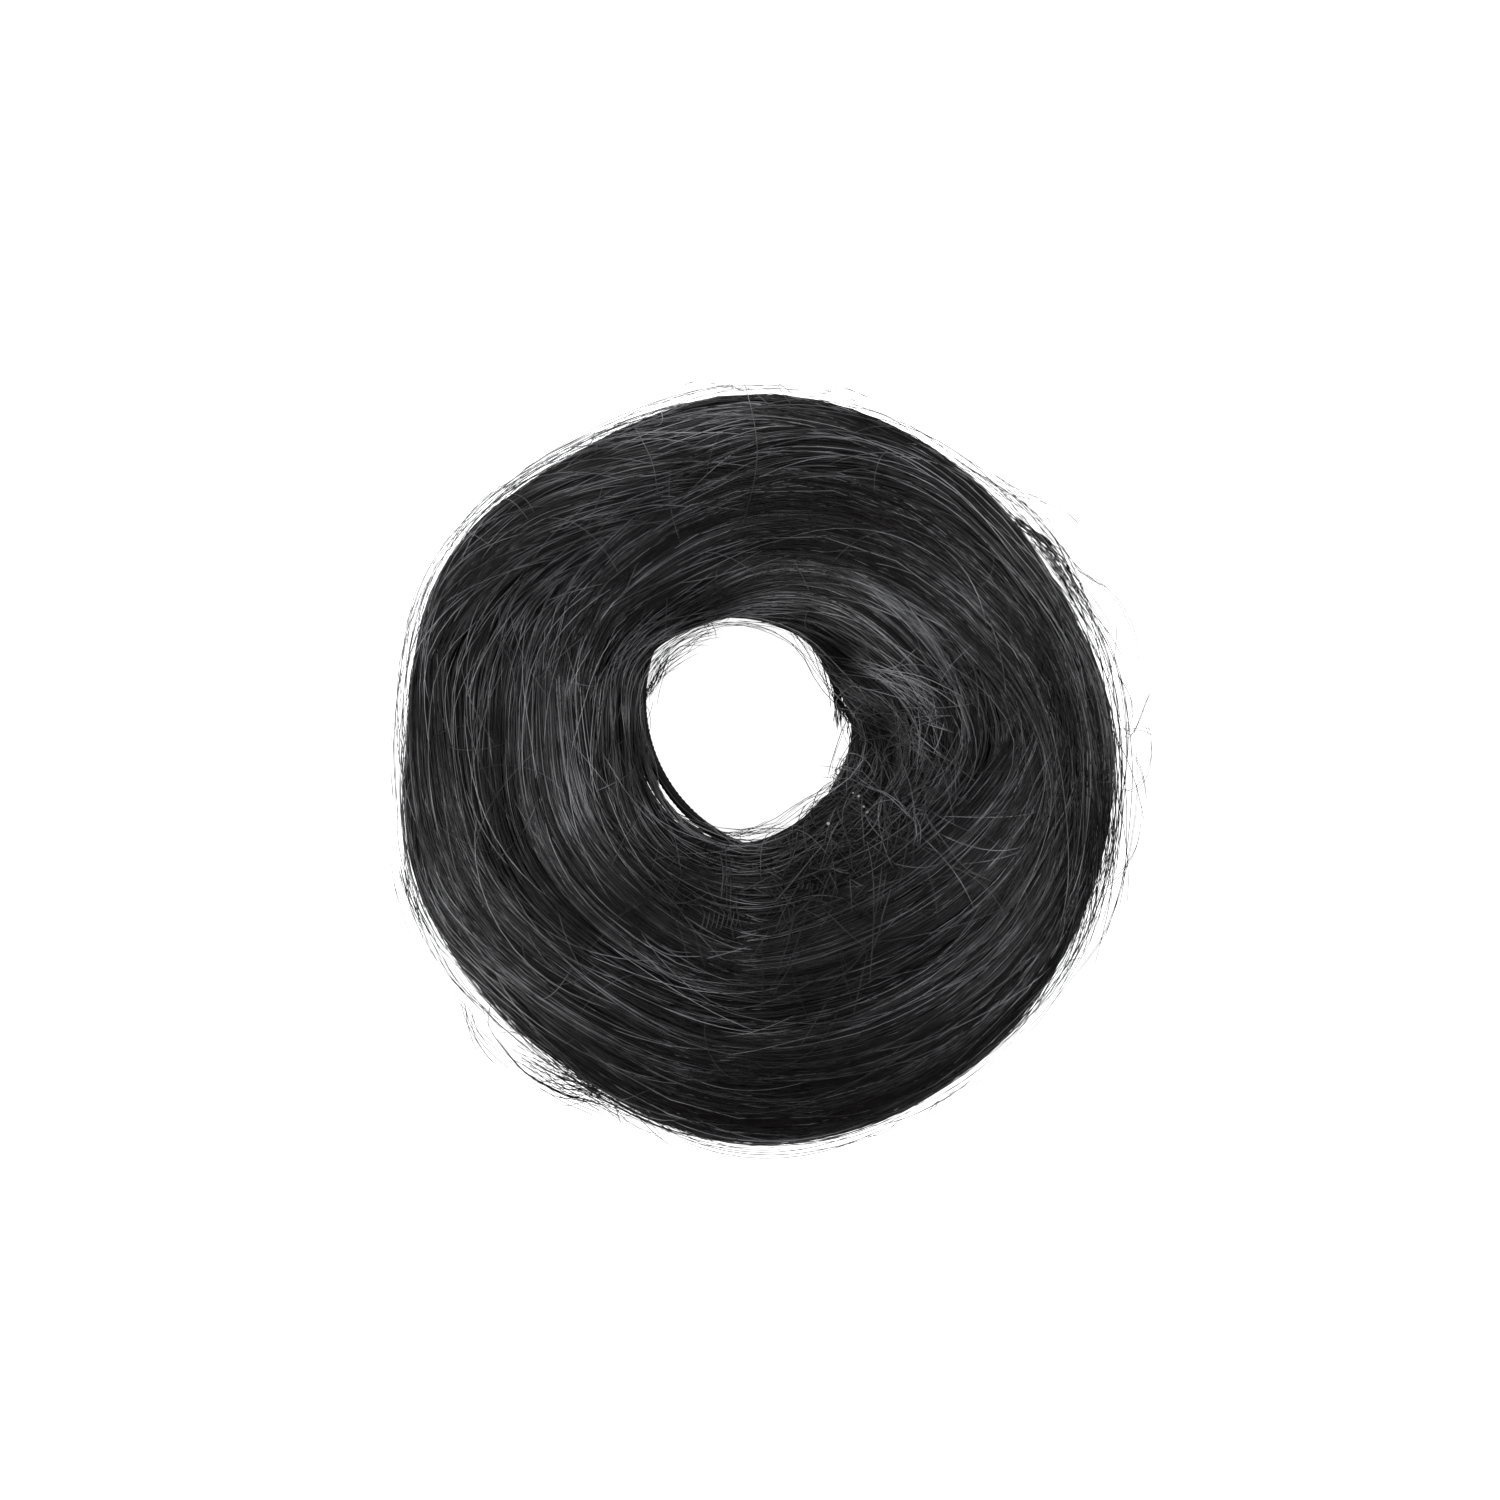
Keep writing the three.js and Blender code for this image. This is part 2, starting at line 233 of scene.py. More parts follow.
def on_ring(angle, turn, lift):
    """Points on the ring's section, lifted off it, in millimetres."""
    middle, half_width, half_height = section_at(angle)
    across, up = np.cos(np.radians(turn)), np.sin(np.radians(turn))
    normal_x, normal_z = across / half_width, up / half_height
    length = np.hypot(normal_x, normal_z)
    reach = middle + half_width * across + normal_x / length * lift
    height = half_height * (1 + up) - FLAT_DEPTH + normal_z / length * lift
    x = HOLE_SHIFT[0] + reach * np.cos(np.radians(angle))
    y = HOLE_SHIFT[1] + reach * np.sin(np.radians(angle))
    return np.stack([x, y, height], axis=-1)


def surface_scale(angle, turn):
    """Millimetres in a degree of angle and in a degree of turn."""
    middle, half_width, half_height = section_at(angle)
    per_angle = np.radians(np.maximum(middle + half_width * np.cos(np.radians(turn)), HOLE_RADIUS * 0.8))
    return per_angle, np.radians((half_width + half_height) / 2)


def beside(angle, turn, across):
    """Moves points of paths sideways by millimetres, square to each path."""
    per_angle, per_turn = surface_scale(angle, turn)
    along_angle = np.gradient(angle, axis=1) * per_angle
    along_turn = np.gradient(turn, axis=1) * per_turn
    length = np.hypot(along_angle, along_turn)
    return (
        angle - along_turn / length * across / per_angle,
        turn + along_angle / length * across / per_turn,
    )


# How the hair runs

def flow_grid():
    """Turn gained for each degree of angle, on a grid of angle and turn."""
    places, slopes = [], []
    for line in FLOW_LINES:
        for (angle_a, turn_a), (angle_b, turn_b) in zip(line, line[1:]):
            for share in (0.25, 0.75):
                places.append((angle_a + (angle_b - angle_a) * share, turn_a + (turn_b - turn_a) * share))
                slopes.append((turn_b - turn_a) / (angle_b - angle_a))
    places, slopes = np.array(places), np.array(slopes)
    angle, turn = np.meshgrid(np.arange(0, 360, FLOW_GRID), np.arange(-180, 180, FLOW_GRID), indexing="ij")
    per_angle, per_turn = surface_scale(angle, turn)
    off_angle = (angle[..., None] - places[:, 0] + 180) % 360 - 180
    off_turn = (turn[..., None] - places[:, 1] + 180) % 360 - 180
    far = np.hypot(off_angle * per_angle[..., None], off_turn * per_turn[..., None])
    weight = np.exp(-((far / FLOW_REACH) ** 2) / 2)
    sway_slope = (round_column(SWAYS, angle + 1) - round_column(SWAYS, angle - 1)) / 2
    total = weight.sum(axis=-1) + SWAY_WEIGHT
    return ((weight * slopes).sum(axis=-1) + SWAY_WEIGHT * sway_slope) / total


FLOW = flow_grid()


def flow_slope(angle, turn):
    """Turn gained for each degree of angle, between the places of the grid."""
    row, column = (angle % 360) / FLOW_GRID, ((turn + 180) % 360) / FLOW_GRID
    low_row, low_column = np.floor(row).astype(int), np.floor(column).astype(int)
    row_share, column_share = row - low_row, column - low_column
    rows, columns = FLOW.shape
    value = 0
    for step in (0, 1):
        near = FLOW[(low_row + step) % rows, low_column % columns]
        far = FLOW[(low_row + step) % rows, (low_column + 1) % columns]
        share = row_share if step else 1 - row_share
        value = value + share * (near * (1 - column_share) + far * column_share)
    return value


def follow(angle, turn, step, count, swerve=0.0, curl=0.0):
    """Walks along the flow, a step of millimetres at a time. A hair can swerve off it, in radians, and
    curl by radians a millimetre."""
    angles, turns = [angle], [turn]
    for index in range(count):
        per_angle, per_turn = surface_scale(angle, turn)
        heading = np.arctan2(flow_slope(angle, turn) * per_turn, per_angle) + swerve + curl * step * index
        angle = angle + step * np.cos(heading) / per_angle
        turn = turn + step * np.sin(heading) / per_turn
        angles.append(angle)
        turns.append(turn)
    return np.array(angles), np.array(turns)


def spines(angle, turn, length):
    """Paths along the flow through given middles, one a row."""
    step = length / (SPINE - 1)
    ahead = follow(angle, turn, step, SPINE // 2)
    back = follow(angle, turn, -step, SPINE // 2)
    return tuple(np.concatenate([b[:0:-1], a]).T for a, b in zip(ahead, back))


def sample(spine, owner, shares):
    """Values of spines, picked by owner, at shares of their length."""
    place = np.clip(shares, 0, 1) * (spine.shape[1] - 1)
    low = np.minimum(place.astype(int), spine.shape[1] - 2)
    share = place - low
    rows = owner[:, None]
    return spine[rows, low] * (1 - share) + spine[rows, low + 1] * share


# Places under the photograph's pixels

VIEW_MIDDLE = np.array((
    (PHOTO_PIXELS / 2 - MIDDLE_PIXEL[0]) * PIXEL,
    (MIDDLE_PIXEL[1] - PHOTO_PIXELS / 2) * PIXEL,
))
VIEW_HEIGHT = PHOTO_PIXELS * PIXEL * LENS / SENSOR + HALF_UP


def under_pixels(pixels):
    """Angle and turn of the ring's upper side under pixels, and how far they lie off the ring."""
    flat = np.stack([pixels[..., 0] - MIDDLE_PIXEL[0], MIDDLE_PIXEL[1] - pixels[..., 1]], axis=-1) * PIXEL
    height = np.full(pixels.shape[:-1], float(HALF_UP))
    for _ in range(5):
        nearness = (VIEW_HEIGHT - height) / (VIEW_HEIGHT - HALF_UP)
        off = VIEW_MIDDLE + (flat - VIEW_MIDDLE) * nearness[..., None] - HOLE_SHIFT
        angle = np.degrees(np.arctan2(off[..., 1], off[..., 0]))
        middle, half_width, half_height = section_at(angle)
        place = (np.hypot(off[..., 0], off[..., 1]) - middle) / half_width
        turn = np.degrees(np.arccos(np.clip(place, -1, 1)))
        height = half_height * (1 + np.sin(np.radians(turn))) - FLAT_DEPTH
    return angle, turn, np.maximum(np.abs(place) - 1, 0) * half_width


def smooth_line(points, shares):
    """A smooth curve through a few pixels, at shares of its length."""
    points = np.array(points, float).reshape(-1, 2)
    padded = np.concatenate([2 * points[:1] - points[1:2], points, 2 * points[-1:] - points[-2:-1]])
    place = shares * (len(points) - 1)
    row = np.minimum(place.astype(int), len(points) - 2)
    return curve_between(*(padded[row + step] for step in range(4)), (place - row)[:, None])


# Meshes of strands

class Strands:
    """Closed three-sided strands with pointed ends, gathered into one mesh."""

    CORNERS = np.radians((90, 210, 330))

    def __init__(self):
        self.points, self.tones, self.quads, self.tips = [], [], [], []
        self.count = 0

    def add(self, paths, ups, radii, tones):
        """Paths are strands by points by xyz, in millimetres. The other arrays go with the points."""
        strands, length, _ = paths.shape
        along = np.gradient(paths, axis=1)
        along /= np.linalg.norm(along, axis=2, keepdims=True) + 1e-9
        side = np.cross(ups, along)
        side /= np.linalg.norm(side, axis=2, keepdims=True) + 1e-9
        top = np.cross(along, side)
        middle = paths[:, 1:-1]
        spokes = [
            math.cos(corner) * side[:, 1:-1] + math.sin(corner) * top[:, 1:-1] for corner in self.CORNERS
        ]
        rings = np.stack([middle + radii[:, 1:-1, None] * spoke for spoke in spokes], axis=2)
        rings = rings.reshape(strands, (length - 2) * 3, 3)
        each = (length - 2) * 3 + 2
        self.points.append(np.concatenate([paths[:, :1], rings, paths[:, -1:]], axis=1).reshape(-1, 3))
        ring_tones = np.repeat(tones[:, 1:-1], 3, axis=1)
        self.tones.append(np.concatenate([tones[:, :1], ring_tones, tones[:, -1:]], axis=1).ravel())
        here = 1 + 3 * np.arange(length - 3)[:, None] + np.arange(3)
        beyond = 1 + 3 * np.arange(length - 3)[:, None] + (np.arange(3) + 1) % 3
        quads = np.stack([here, beyond, beyond + 3, here + 3], axis=-1).reshape(-1, 4)
        last = each - 4
        tips = [(0, 1 + (k + 1) % 3, 1 + k) for k in range(3)]
        tips += [(each - 1, last + k, last + (k + 1) % 3) for k in range(3)]
        first = self.count + each * np.arange(strands)
        self.quads.append((first[:, None, None] + quads).reshape(-1, 4))
        self.tips.append((first[:, None, None] + np.array(tips)).reshape(-1, 3))
        self.count += each * strands

    def build(self, name, finish):
        """The piece, in metres, with a tone at each point."""
        points = np.concatenate(self.points) * MM
        quads, tips = np.concatenate(self.quads), np.concatenate(self.tips)
        mesh = bpy.data.meshes.new(name)
        mesh.vertices.add(len(points))
        mesh.vertices.foreach_set("co", points.astype(np.float32).ravel())
        corners = np.concatenate([quads.ravel(), tips.ravel()])
        mesh.loops.add(len(corners))
        mesh.loops.foreach_set("vertex_index", corners.astype(np.int32))
        starts = np.concatenate([4 * np.arange(len(quads)), 4 * len(quads) + 3 * np.arange(len(tips))])
        mesh.polygons.add(len(starts))
        mesh.polygons.foreach_set("loop_start", starts.astype(np.int32))
        mesh.update(calc_edges=True)
        mesh.shade_smooth()
        tone = mesh.attributes.new("tone", "FLOAT", "POINT")
        tone.data.foreach_set("value", np.concatenate(self.tones).astype(np.float32))
        mesh.materials.append(finish)
        piece = bpy.data.objects.new(name, mesh)
        bpy.context.scene.collection.objects.link(piece)
        return piece


def painted_light_and_shade_share(paths):
    """Painted highlight and shade where paths run: the hair's colour as a share of its usual tone."""
    share = 1
    for x, y, reach, least in PAINTED_LIGHT_AND_SHADE_PATCHES:
        off_x = paths[..., 0] - (x - MIDDLE_PIXEL[0]) * PIXEL
        off_y = paths[..., 1] - (MIDDLE_PIXEL[1] - y) * PIXEL
        near = np.exp(-(off_x**2 + off_y**2) / (reach * PIXEL) ** 2)
        share = share * (1 + (least - 1) * near)
    return share


def lay(strands, angle, turn, lift, radius, tone):
    """Adds strands that lie on the ring, lifted off its section."""
    paths = on_ring(angle, turn, lift)
    ups = on_ring(angle, turn, lift + 1) - paths
    paths[..., 2] = np.maximum(paths[..., 2], LOWEST)
    # The strands' tones take the painted highlight and painted shade of the patches here.
    strands.add(paths, ups, radius, np.clip(tone * painted_light_and_shade_share(paths), 0, 1))


def tapered(count, radius, tip=0.25):
    """Radii along strands that thin out towards both ends."""
    share = np.linspace(0, 1, count)
    return radius[:, None] * (tip + (1 - tip) * arch(share, 0.4))


def strand_looks(clump_tone):
    """Radii and tones of strands: dark hair, and some finer hairs with painted glints, paler colour in places
    along them.
    """
    count = len(clump_tone)
    fine = chance.random(count) < FINE_SHARE
    fine_radius = chance.uniform(*FINE_RADIUS, count)
    radius = tapered(STRAND, np.where(fine, fine_radius, chance.uniform(*USUAL_RADIUS, count)))
    tone = clump_tone + chance.normal(0, STRAND_TONE_SPREAD, count)
    # Painted glints: fine hairs are coloured paler in places along them, standing in for highlights.
    painted_glint = np.where(fine, chance.uniform(*PAINTED_GLINT, count), 0)
    share = np.linspace(0, 1, STRAND)
    phase = chance.uniform(0, 2 * np.pi, count)[:, None]
    wave = np.sin(phase + share * chance.uniform(2, 8, count)[:, None])
    tones = tone[:, None] + painted_glint[:, None] * smoothstep(-0.6, 0.9, wave) + 0.04 * wave
    return radius, np.clip(tones, 0, 1)


def comb_clumps(strands, angle, turn, length, width, per_clump, rise):
    """Clumps of strands along the flow, each a flat lens of hair, through given middles."""
    clumps = len(angle)
    spine_angle, spine_turn = spines(angle, turn, length)
    owner = np.repeat(np.arange(clumps), per_clump)
    count = len(owner)
    start = chance.beta(1.0, 3.2, count) * CLUMP_RAGGED
    end = 1 - chance.beta(1.0, 3.2, count) * CLUMP_RAGGED
    share = np.linspace(0, 1, STRAND)
    shares = start[:, None] + (end - start)[:, None] * share
    path_angle = sample(spine_angle, owner, shares)
    path_turn = sample(spine_turn, owner, shares)
    place = chance.uniform(-1, 1, count)
    spread = 0.45 + 0.55 * arch(shares, 0.7)
    drift = chance.normal(0, 0.22, count)[:, None] * (shares - 0.5)
    across = width[owner][:, None] / 2 * (place[:, None] * spread + drift)
    path_angle, path_turn = beside(path_angle, path_turn, across)
    crown = np.sqrt(np.clip(1 - place**2, 0, 1))[:, None] * arch(shares, 0.6)
    tuck = 0.5 * (1 - arch(share, 0.5))
    loose = np.abs(chance.normal(0, 0.2, count))[:, None] * arch(share)
    crease = 0.8 * crease_at(path_angle, path_turn)
    lift = CLUMP_BASE + rise[owner][:, None] * crown + loose - tuck - crease
    radius, tones = strand_looks(chance.normal(USUAL_TONE, CLUMP_TONE_SPREAD, clumps)[owner])
    lay(strands, path_angle, path_turn, lift, radius, tones)


# Finishes

class Reading:
    """A number that varies over a surface, with the operators that the finishes use."""

    def __init__(self, finish, socket):
        self.finish, self.socket = finish, socket

    def math(self, operation, first, second):
        node = self.finish.node("Math", {"operation": operation})
        self.finish.feed(node.inputs[0], first)
        self.finish.feed(node.inputs[1], second)
        return Reading(self.finish, node.outputs[0])

    def __add__(self, other):
        return self.math("ADD", self, other)

    def __sub__(self, other):
        return self.math("SUBTRACT", self, other)

    def __rsub__(self, other):
        return self.math("SUBTRACT", other, self)

    def __mul__(self, other):
        return self.math("MULTIPLY", self, other)

    def __pow__(self, other):
        return self.math("POWER", self, other)

    __radd__ = __add__
    __rmul__ = __mul__


class Finish:
    """A material under construction."""

    def __init__(self, name):
        self.material = bpy.data.materials.new(name)
        self.material.use_nodes = True
        self.tree = self.material.node_tree
        self.tree.nodes.clear()

    def feed(self, socket, value):
        if isinstance(value, Reading):
            value = value.socket
        if isinstance(value, bpy.types.NodeSocket):
            self.tree.links.new(value, socket)
        else:
            socket.default_value = value

    def node(self, kind, settings=None, **sockets):
        node = self.tree.nodes.new("ShaderNode" + kind)
        for name, value in (settings or {}).items():
            setattr(node, name, value)
        for name, value in sockets.items():
            socket = next(s for s in node.inputs if s.enabled and s.name == name.replace("_", " "))
            self.feed(socket, value)
        return node

    def attribute(self, name, output):
        return self.node("Attribute", {"attribute_name": name}).outputs[output]

    def noise(self, scale, detail=2.0, vector=None):
        """Noise over the piece's own space, or over a vector."""
        vector = vector or self.node("TexCoord").outputs["Object"]
        node = self.node("TexNoise", None, Vector=vector, Scale=scale, Detail=detail)
        return Reading(self, node.outputs[0])

    def stretch(self, vector, scale):
        return self.node("Mapping", None, Vector=vector, Scale=scale).outputs["Vector"]

    def blend(self, factor, dark, light):
        node = self.node("Mix", {"data_type": "RGBA"}, Factor=factor, A=dark, B=light)
        return next(s for s in node.outputs if s.enabled)

    def bump(self, height, distance, strength=1.0):
        return self.node("Bump", None, Height=height, Distance=distance, Strength=strength).outputs["Normal"]

    def surface(self, **sockets):
        shader = self.node("BsdfPrincipled", None, **sockets)
        output = self.node("OutputMaterial")
        self.tree.links.new(shader.outputs["BSDF"], output.inputs["Surface"])
        return self.material


# The strands' colours run from HAIR_DARK to HAIR_LIGHT by tone; the pale end also paints the glints and
# highlights.
HAIR_DARK = (0.0045, 0.0036, 0.004, 1)
HAIR_LIGHT = (0.29, 0.29, 0.305, 1)
# The core's colours are darker than the strands', as painted shade between them.
CORE_DARK = (0.0022, 0.0017, 0.0019, 1)
CORE_LIGHT = (0.008, 0.0073, 0.008, 1)


def strand_finish():
    """Single hairs: near black to grey by tone, which carries the painted highlights, glints and shade as
    well as the hair's own tone; glossy along their length.
    """
    finish = Finish("hair_strands")
    tone = Reading(finish, finish.attribute("tone", "Fac"))
    mottle = finish.noise(260.0)
    shade = tone * (0.6 + 0.8 * mottle)
    return finish.surface(
        Base_Color=finish.blend(shade ** 2.2, HAIR_DARK, HAIR_LIGHT),
        Roughness=0.34 + 0.16 * mottle,
        Specular_IOR_Level=0.22,
        Coat_Weight=1.3 * shade,
        Coat_Roughness=0.3,
        Coat_IOR=1.45,
    )


def core_finish():
    """Hair deep between the strands: coloured darker than the strands as painted shade, with fine streaks
    along the flow.
    """
    finish = Finish("hair_core")
    flow = finish.attribute("flow", "Vector")
    fine = finish.noise(1.0, 3.0, finish.stretch(flow, (0.03, 2.4, 2.4)))
    broad = finish.noise(1.0, 2.0, finish.stretch(flow, (0.02, 0.7, 0.7)))
    streak = 0.65 * fine + 0.35 * broad
    return finish.surface(
        Base_Color=finish.blend(streak, CORE_DARK, CORE_LIGHT),
        Roughness=0.42 + 0.12 * broad,
        Specular_IOR_Level=0.15,
        Normal=finish.bump(streak, 0.0006),
    )


def elastic_finish():
    """Matt black thread over rubber."""
    finish = Finish("elastic_thread")
    fuzz = finish.noise(900.0)
    return finish.surface(
        Base_Color=finish.blend(fuzz, (0.004, 0.004, 0.0045, 1), (0.014, 0.014, 0.015, 1)),
        Roughness=0.7 + 0.15 * fuzz,
        Specular_IOR_Level=0.3,
        Normal=finish.bump(fuzz, 0.0002, 0.6),
    )


def floor_finish():
    """White table paper that the light washes out."""
    finish = Finish("white_table")
    grain = finish.noise(400.0)
    return finish.surface(
        Base_Color=finish.blend(grain, (0.9, 0.9, 0.9, 1), (0.93, 0.93, 0.93, 1)),
        Roughness=0.9,
        Specular_IOR_Level=0.1,
        Emission_Color=(1, 1, 1, 1),
        Emission_Strength=0.97,
    )


def glue_finish():
    """Clear glue, gone a little milky."""
    finish = Finish("clear_glue")
    cloud = finish.noise(3000.0)
    return finish.surface(
        Base_Color=finish.blend(cloud, (0.22, 0.21, 0.2, 1), (0.55, 0.53, 0.5, 1)),
        Roughness=0.12 + 0.1 * cloud,
        Specular_IOR_Level=0.5,
    )


strand_hair = strand_finish()
clear_glue = glue_finish()
core_hair = core_finish()
elastic_thread = elastic_finish()


# Pieces

def take_active(name, finish):
    """The active piece, named and given its finish."""
    piece = bpy.context.view_layer.objects.active
    piece.name = name
    piece.data.name = name
    piece.data.materials.clear()
    piece.data.materials.append(finish)
    return piece


def primitive(name, finish, add, **settings):
    """A new primitive under a name, with a finish."""
    bpy.ops.object.select_all(action="DESELECT")
    add(**settings)
    return take_active(name, finish)


def points_of(piece):
    """The points of a piece, one a row."""
    points = np.empty(len(piece.data.vertices) * 3)
    piece.data.vertices.foreach_get("co", points)
    return points.reshape(-1, 3)


def reshape(piece, points, flow):
    """Moves the points of a piece, in millimetres, and keeps how the hair flows over it."""
    piece.data.vertices.foreach_set("co", (points * MM).ravel())
    attribute = piece.data.attributes.new("flow", "FLOAT_VECTOR", "POINT")
    attribute.data.foreach_set("vector", flow.ravel())
    piece.data.update()
    piece.data.shade_smooth()


def hair_piece(piece, *nodes):
    """Makes a piece part of the hair, in place of solids if they are named."""
    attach(piece, BODY)
    if nodes:
        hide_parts(*nodes)
    return piece


def ring_core():
    """The mass of wound hair: a torus pressed to the ring's section, creased between its windings."""
    piece = primitive(
        "hair_ring_core", core_hair, bpy.ops.mesh.primitive_torus_add,
        major_segments=180, minor_segments=72, major_radius=1, minor_radius=0.4, location=(0, 0, 0),
    )
    x, y, z = points_of(piece).T
    angle = np.degrees(np.arctan2(y, x))
    turn = np.degrees(np.arctan2(z, np.hypot(x, y) - 1))
    points = on_ring(angle, turn, -CORE_SINK - crease_at(angle, turn))
    points[:, 2] = np.maximum(points[:, 2], CORE_LOWEST)
    round_turn = np.radians(turn - round_column(SWAYS, angle))
    flow = np.stack([np.abs(angle) * 0.6, 18 * np.cos(round_turn), 18 * np.sin(round_turn)], axis=1)
    reshape(piece, points, flow)
    return hair_piece(piece, "hair_ring")


def lock_path(start, stop, turns, share):
    """Angle and turn at shares of a lock's length. Three turns shape it: start, middle and end."""
    first = turns[0] * (1 - share) * (1 - 2 * share)
    middle = turns[1] * 4 * share * (1 - share)
    last = turns[2] * share * (2 * share - 1)
    return start + (stop - start) * share, first + middle + last


def swell(share):
    """How full a lock is at shares of its length."""
    return LEAST_SWELL + (1 - LEAST_SWELL) * arch(np.clip(share, 0, 1), 0.6)


def lock_core(name, start, stop, turns, width, rise):
    """The body of a lock: a ball drawn out along the lock's path."""
    piece = primitive(
        name + "_core", core_hair, bpy.ops.mesh.primitive_uv_sphere_add,
        segments=16, ring_count=48, radius=1, location=(0, 0, 0),
    )
    x, y, z = points_of(piece).T
    share = 0.5 + np.arcsin(np.clip(z, -1, 1)) / np.pi
    out = np.hypot(x, y)
    flat = np.where(out > 1e-4, x / np.maximum(out, 1e-4), 0)
    up = np.where(out > 1e-4, y / np.maximum(out, 1e-4), 0)
    full = swell(share)
    across = flat * width / 2 * full * 0.8
    lift = np.where(up > 0, up * rise * full * 0.6, up * 0.8)
    ahead = np.stack([share, share + 0.01], axis=1)
    angle, turn = lock_path(start, stop, turns, ahead)
    angle, turn = beside(angle, turn, across[:, None])
    flow = np.stack([share * 90, across, np.zeros_like(lift)], axis=1)
    reshape(piece, on_ring(angle[:, 0], turn[:, 0], lift), flow)
    return hair_piece(piece, name)


def lock_strands(strands, start, stop, turns, width, rise, count, bias):
    """Strands that dress a lock, in narrow bundles, and run out past its tips."""
    bundles = max(5, round(width / BUNDLE_WIDTH))
    bundle = chance.integers(0, bundles, count)
    bundle_middle = (bundle + 0.5) / bundles * 2 - 1
    within = chance.uniform(-1, 1, count)
    place = np.clip(bundle_middle + within * 0.9 / bundles, -1.05, 1.05)
    first = -OVERRUN + chance.beta(1.2, 1.9, count) * LOCK_RAGGED
    last = 1 + OVERRUN - chance.beta(1.2, 1.9, count) * LOCK_RAGGED
    share = np.linspace(0, 1, STRAND)
    shares = first[:, None] + (last - first)[:, None] * share
    angle, turn = lock_path(start, stop, turns, shares)
    full = swell(shares)
    drift = chance.normal(0, 0.13, count)[:, None] * (shares - 0.5)
    across = width / 2 * (place[:, None] * (0.62 + 0.38 * full) + drift)
    angle, turn = beside(angle, turn, across)
    lens = np.clip(1 - place**2, 0, 1)[:, None] ** 0.8
    ridge = 0.35 * np.sqrt(np.clip(1 - within**2, 0, 1))[:, None] - 0.3
    tuck = 0.5 * (1 - arch(share, 0.5))
    loose = np.abs(chance.normal(0, 0.18, count))[:, None] * arch(share)
    lift = 0.1 + bias + rise * 0.85 * (full - LEAST_SWELL) * lens + ridge * full + loose - tuck
    radius, tones = strand_looks(chance.normal(USUAL_TONE, CLUMP_TONE_SPREAD, bundles)[bundle])
    lay(strands, angle, turn, lift, radius, tones)


def loose_hairs(strands, angle, turn, length, swerve, curl, lift, bow, thickness, tone, points=STRAND):
    """Single hairs that wander over the ring, from given starts. bow is how far they stand off it."""
    angles, turns = follow(angle, turn, length / (points - 1), points - 1, swerve, curl)
    angles, turns = angles.T, turns.T
    share = np.linspace(0, 1, points)
    lifts = lift[:, None] + bow[:, None] * arch(share) - 0.3 * np.abs(2 * share - 1) ** 3
    radius = tapered(points, thickness, 0.5)
    tones = np.repeat(tone[:, None], points, axis=1)
    lay(strands, angles, turns, lifts, radius, tones)


def either_way(spread, count):
    """Swerves of hairs that run one way or the other along the flow, with a spread in radians."""
    return chance.normal(0, spread, count) + np.pi * chance.integers(0, 2, count)


def tones_about(middle, spread, least, count):
    return np.clip(chance.normal(middle, spread, count), least, 1)


def alike(lift, tone, lines):
    """Lines for drawn_hairs that share a lift and a tone."""
    return tuple((lift, tone, line) for line in lines)


def drawn_hairs(strands, lines, copies, scatter, thickness, points=LONG_HAIR, spread=0.08):
    """Hairs drawn over the photograph, as a lift, a tone and pixels. Copies scatter about each and
    are shorter."""
    for lift, tone, pixels in lines:
        share = np.linspace(0, 1, points)
        for copy in range(copies):
            first, last = chance.uniform(0, 0.3, 2) * (copy > 0)
            wander = chance.normal(0, scatter, 2) * (copy > 0)
            turn_out = chance.normal(0, scatter, 2) * (copy > 0)
            line = smooth_line(pixels, first + (1 - first - last) * share)
            path = line + wander + turn_out * (share[:, None] - 0.5) * 2
            angle, turn, off = under_pixels(path[None])
            radius = tapered(points, np.array([thickness]), 0.5)
            tones = np.full((1, points), np.clip(tone + chance.normal(0, spread), 0, 1))
            lay(strands, angle, turn, off + lift, radius, tones)


ring_core()

# The hair of the ring, in four quarters, each with some underneath
for quarter, name in enumerate(("right", "top", "left", "bottom")):
    hair = Strands()
    for clumps, per_clump, turns, lengths, widths, rises in CLUMPS:
        angle = 90 * quarter + chance.uniform(-QUARTER_REACH, QUARTER_REACH, clumps)
        turn = chance.uniform(*turns, clumps)
        length = chance.uniform(*lengths, clumps) * (1 - HOLE_SHORTER * smoothstep(120, 180, turn))
        width = chance.uniform(*widths, clumps)
        comb_clumps(hair, angle, turn, length, width, per_clump, chance.uniform(*rises, clumps))
    hair_piece(hair.build("ring_hair_" + name, strand_hair))

# The locks
for order, (name, start, stop, turns, width, rise) in enumerate(LOCKS):
    lock_core(name, start, stop, turns, width, rise)
    hair = Strands()
    count = round(LOCK_STRANDS * width * (abs(stop - start) / LOCK_SPAN) ** 0.5)
    lock_strands(hair, start, stop, turns, width, rise, count, LOCK_STEP * (len(LOCKS) - 1 - order))
    hair_piece(hair.build(name + "_hair", strand_hair))

LOOP_CORE_RADIUS = 0.68
THREAD_REACH = 0.72
THREAD_RADIUS = 0.1


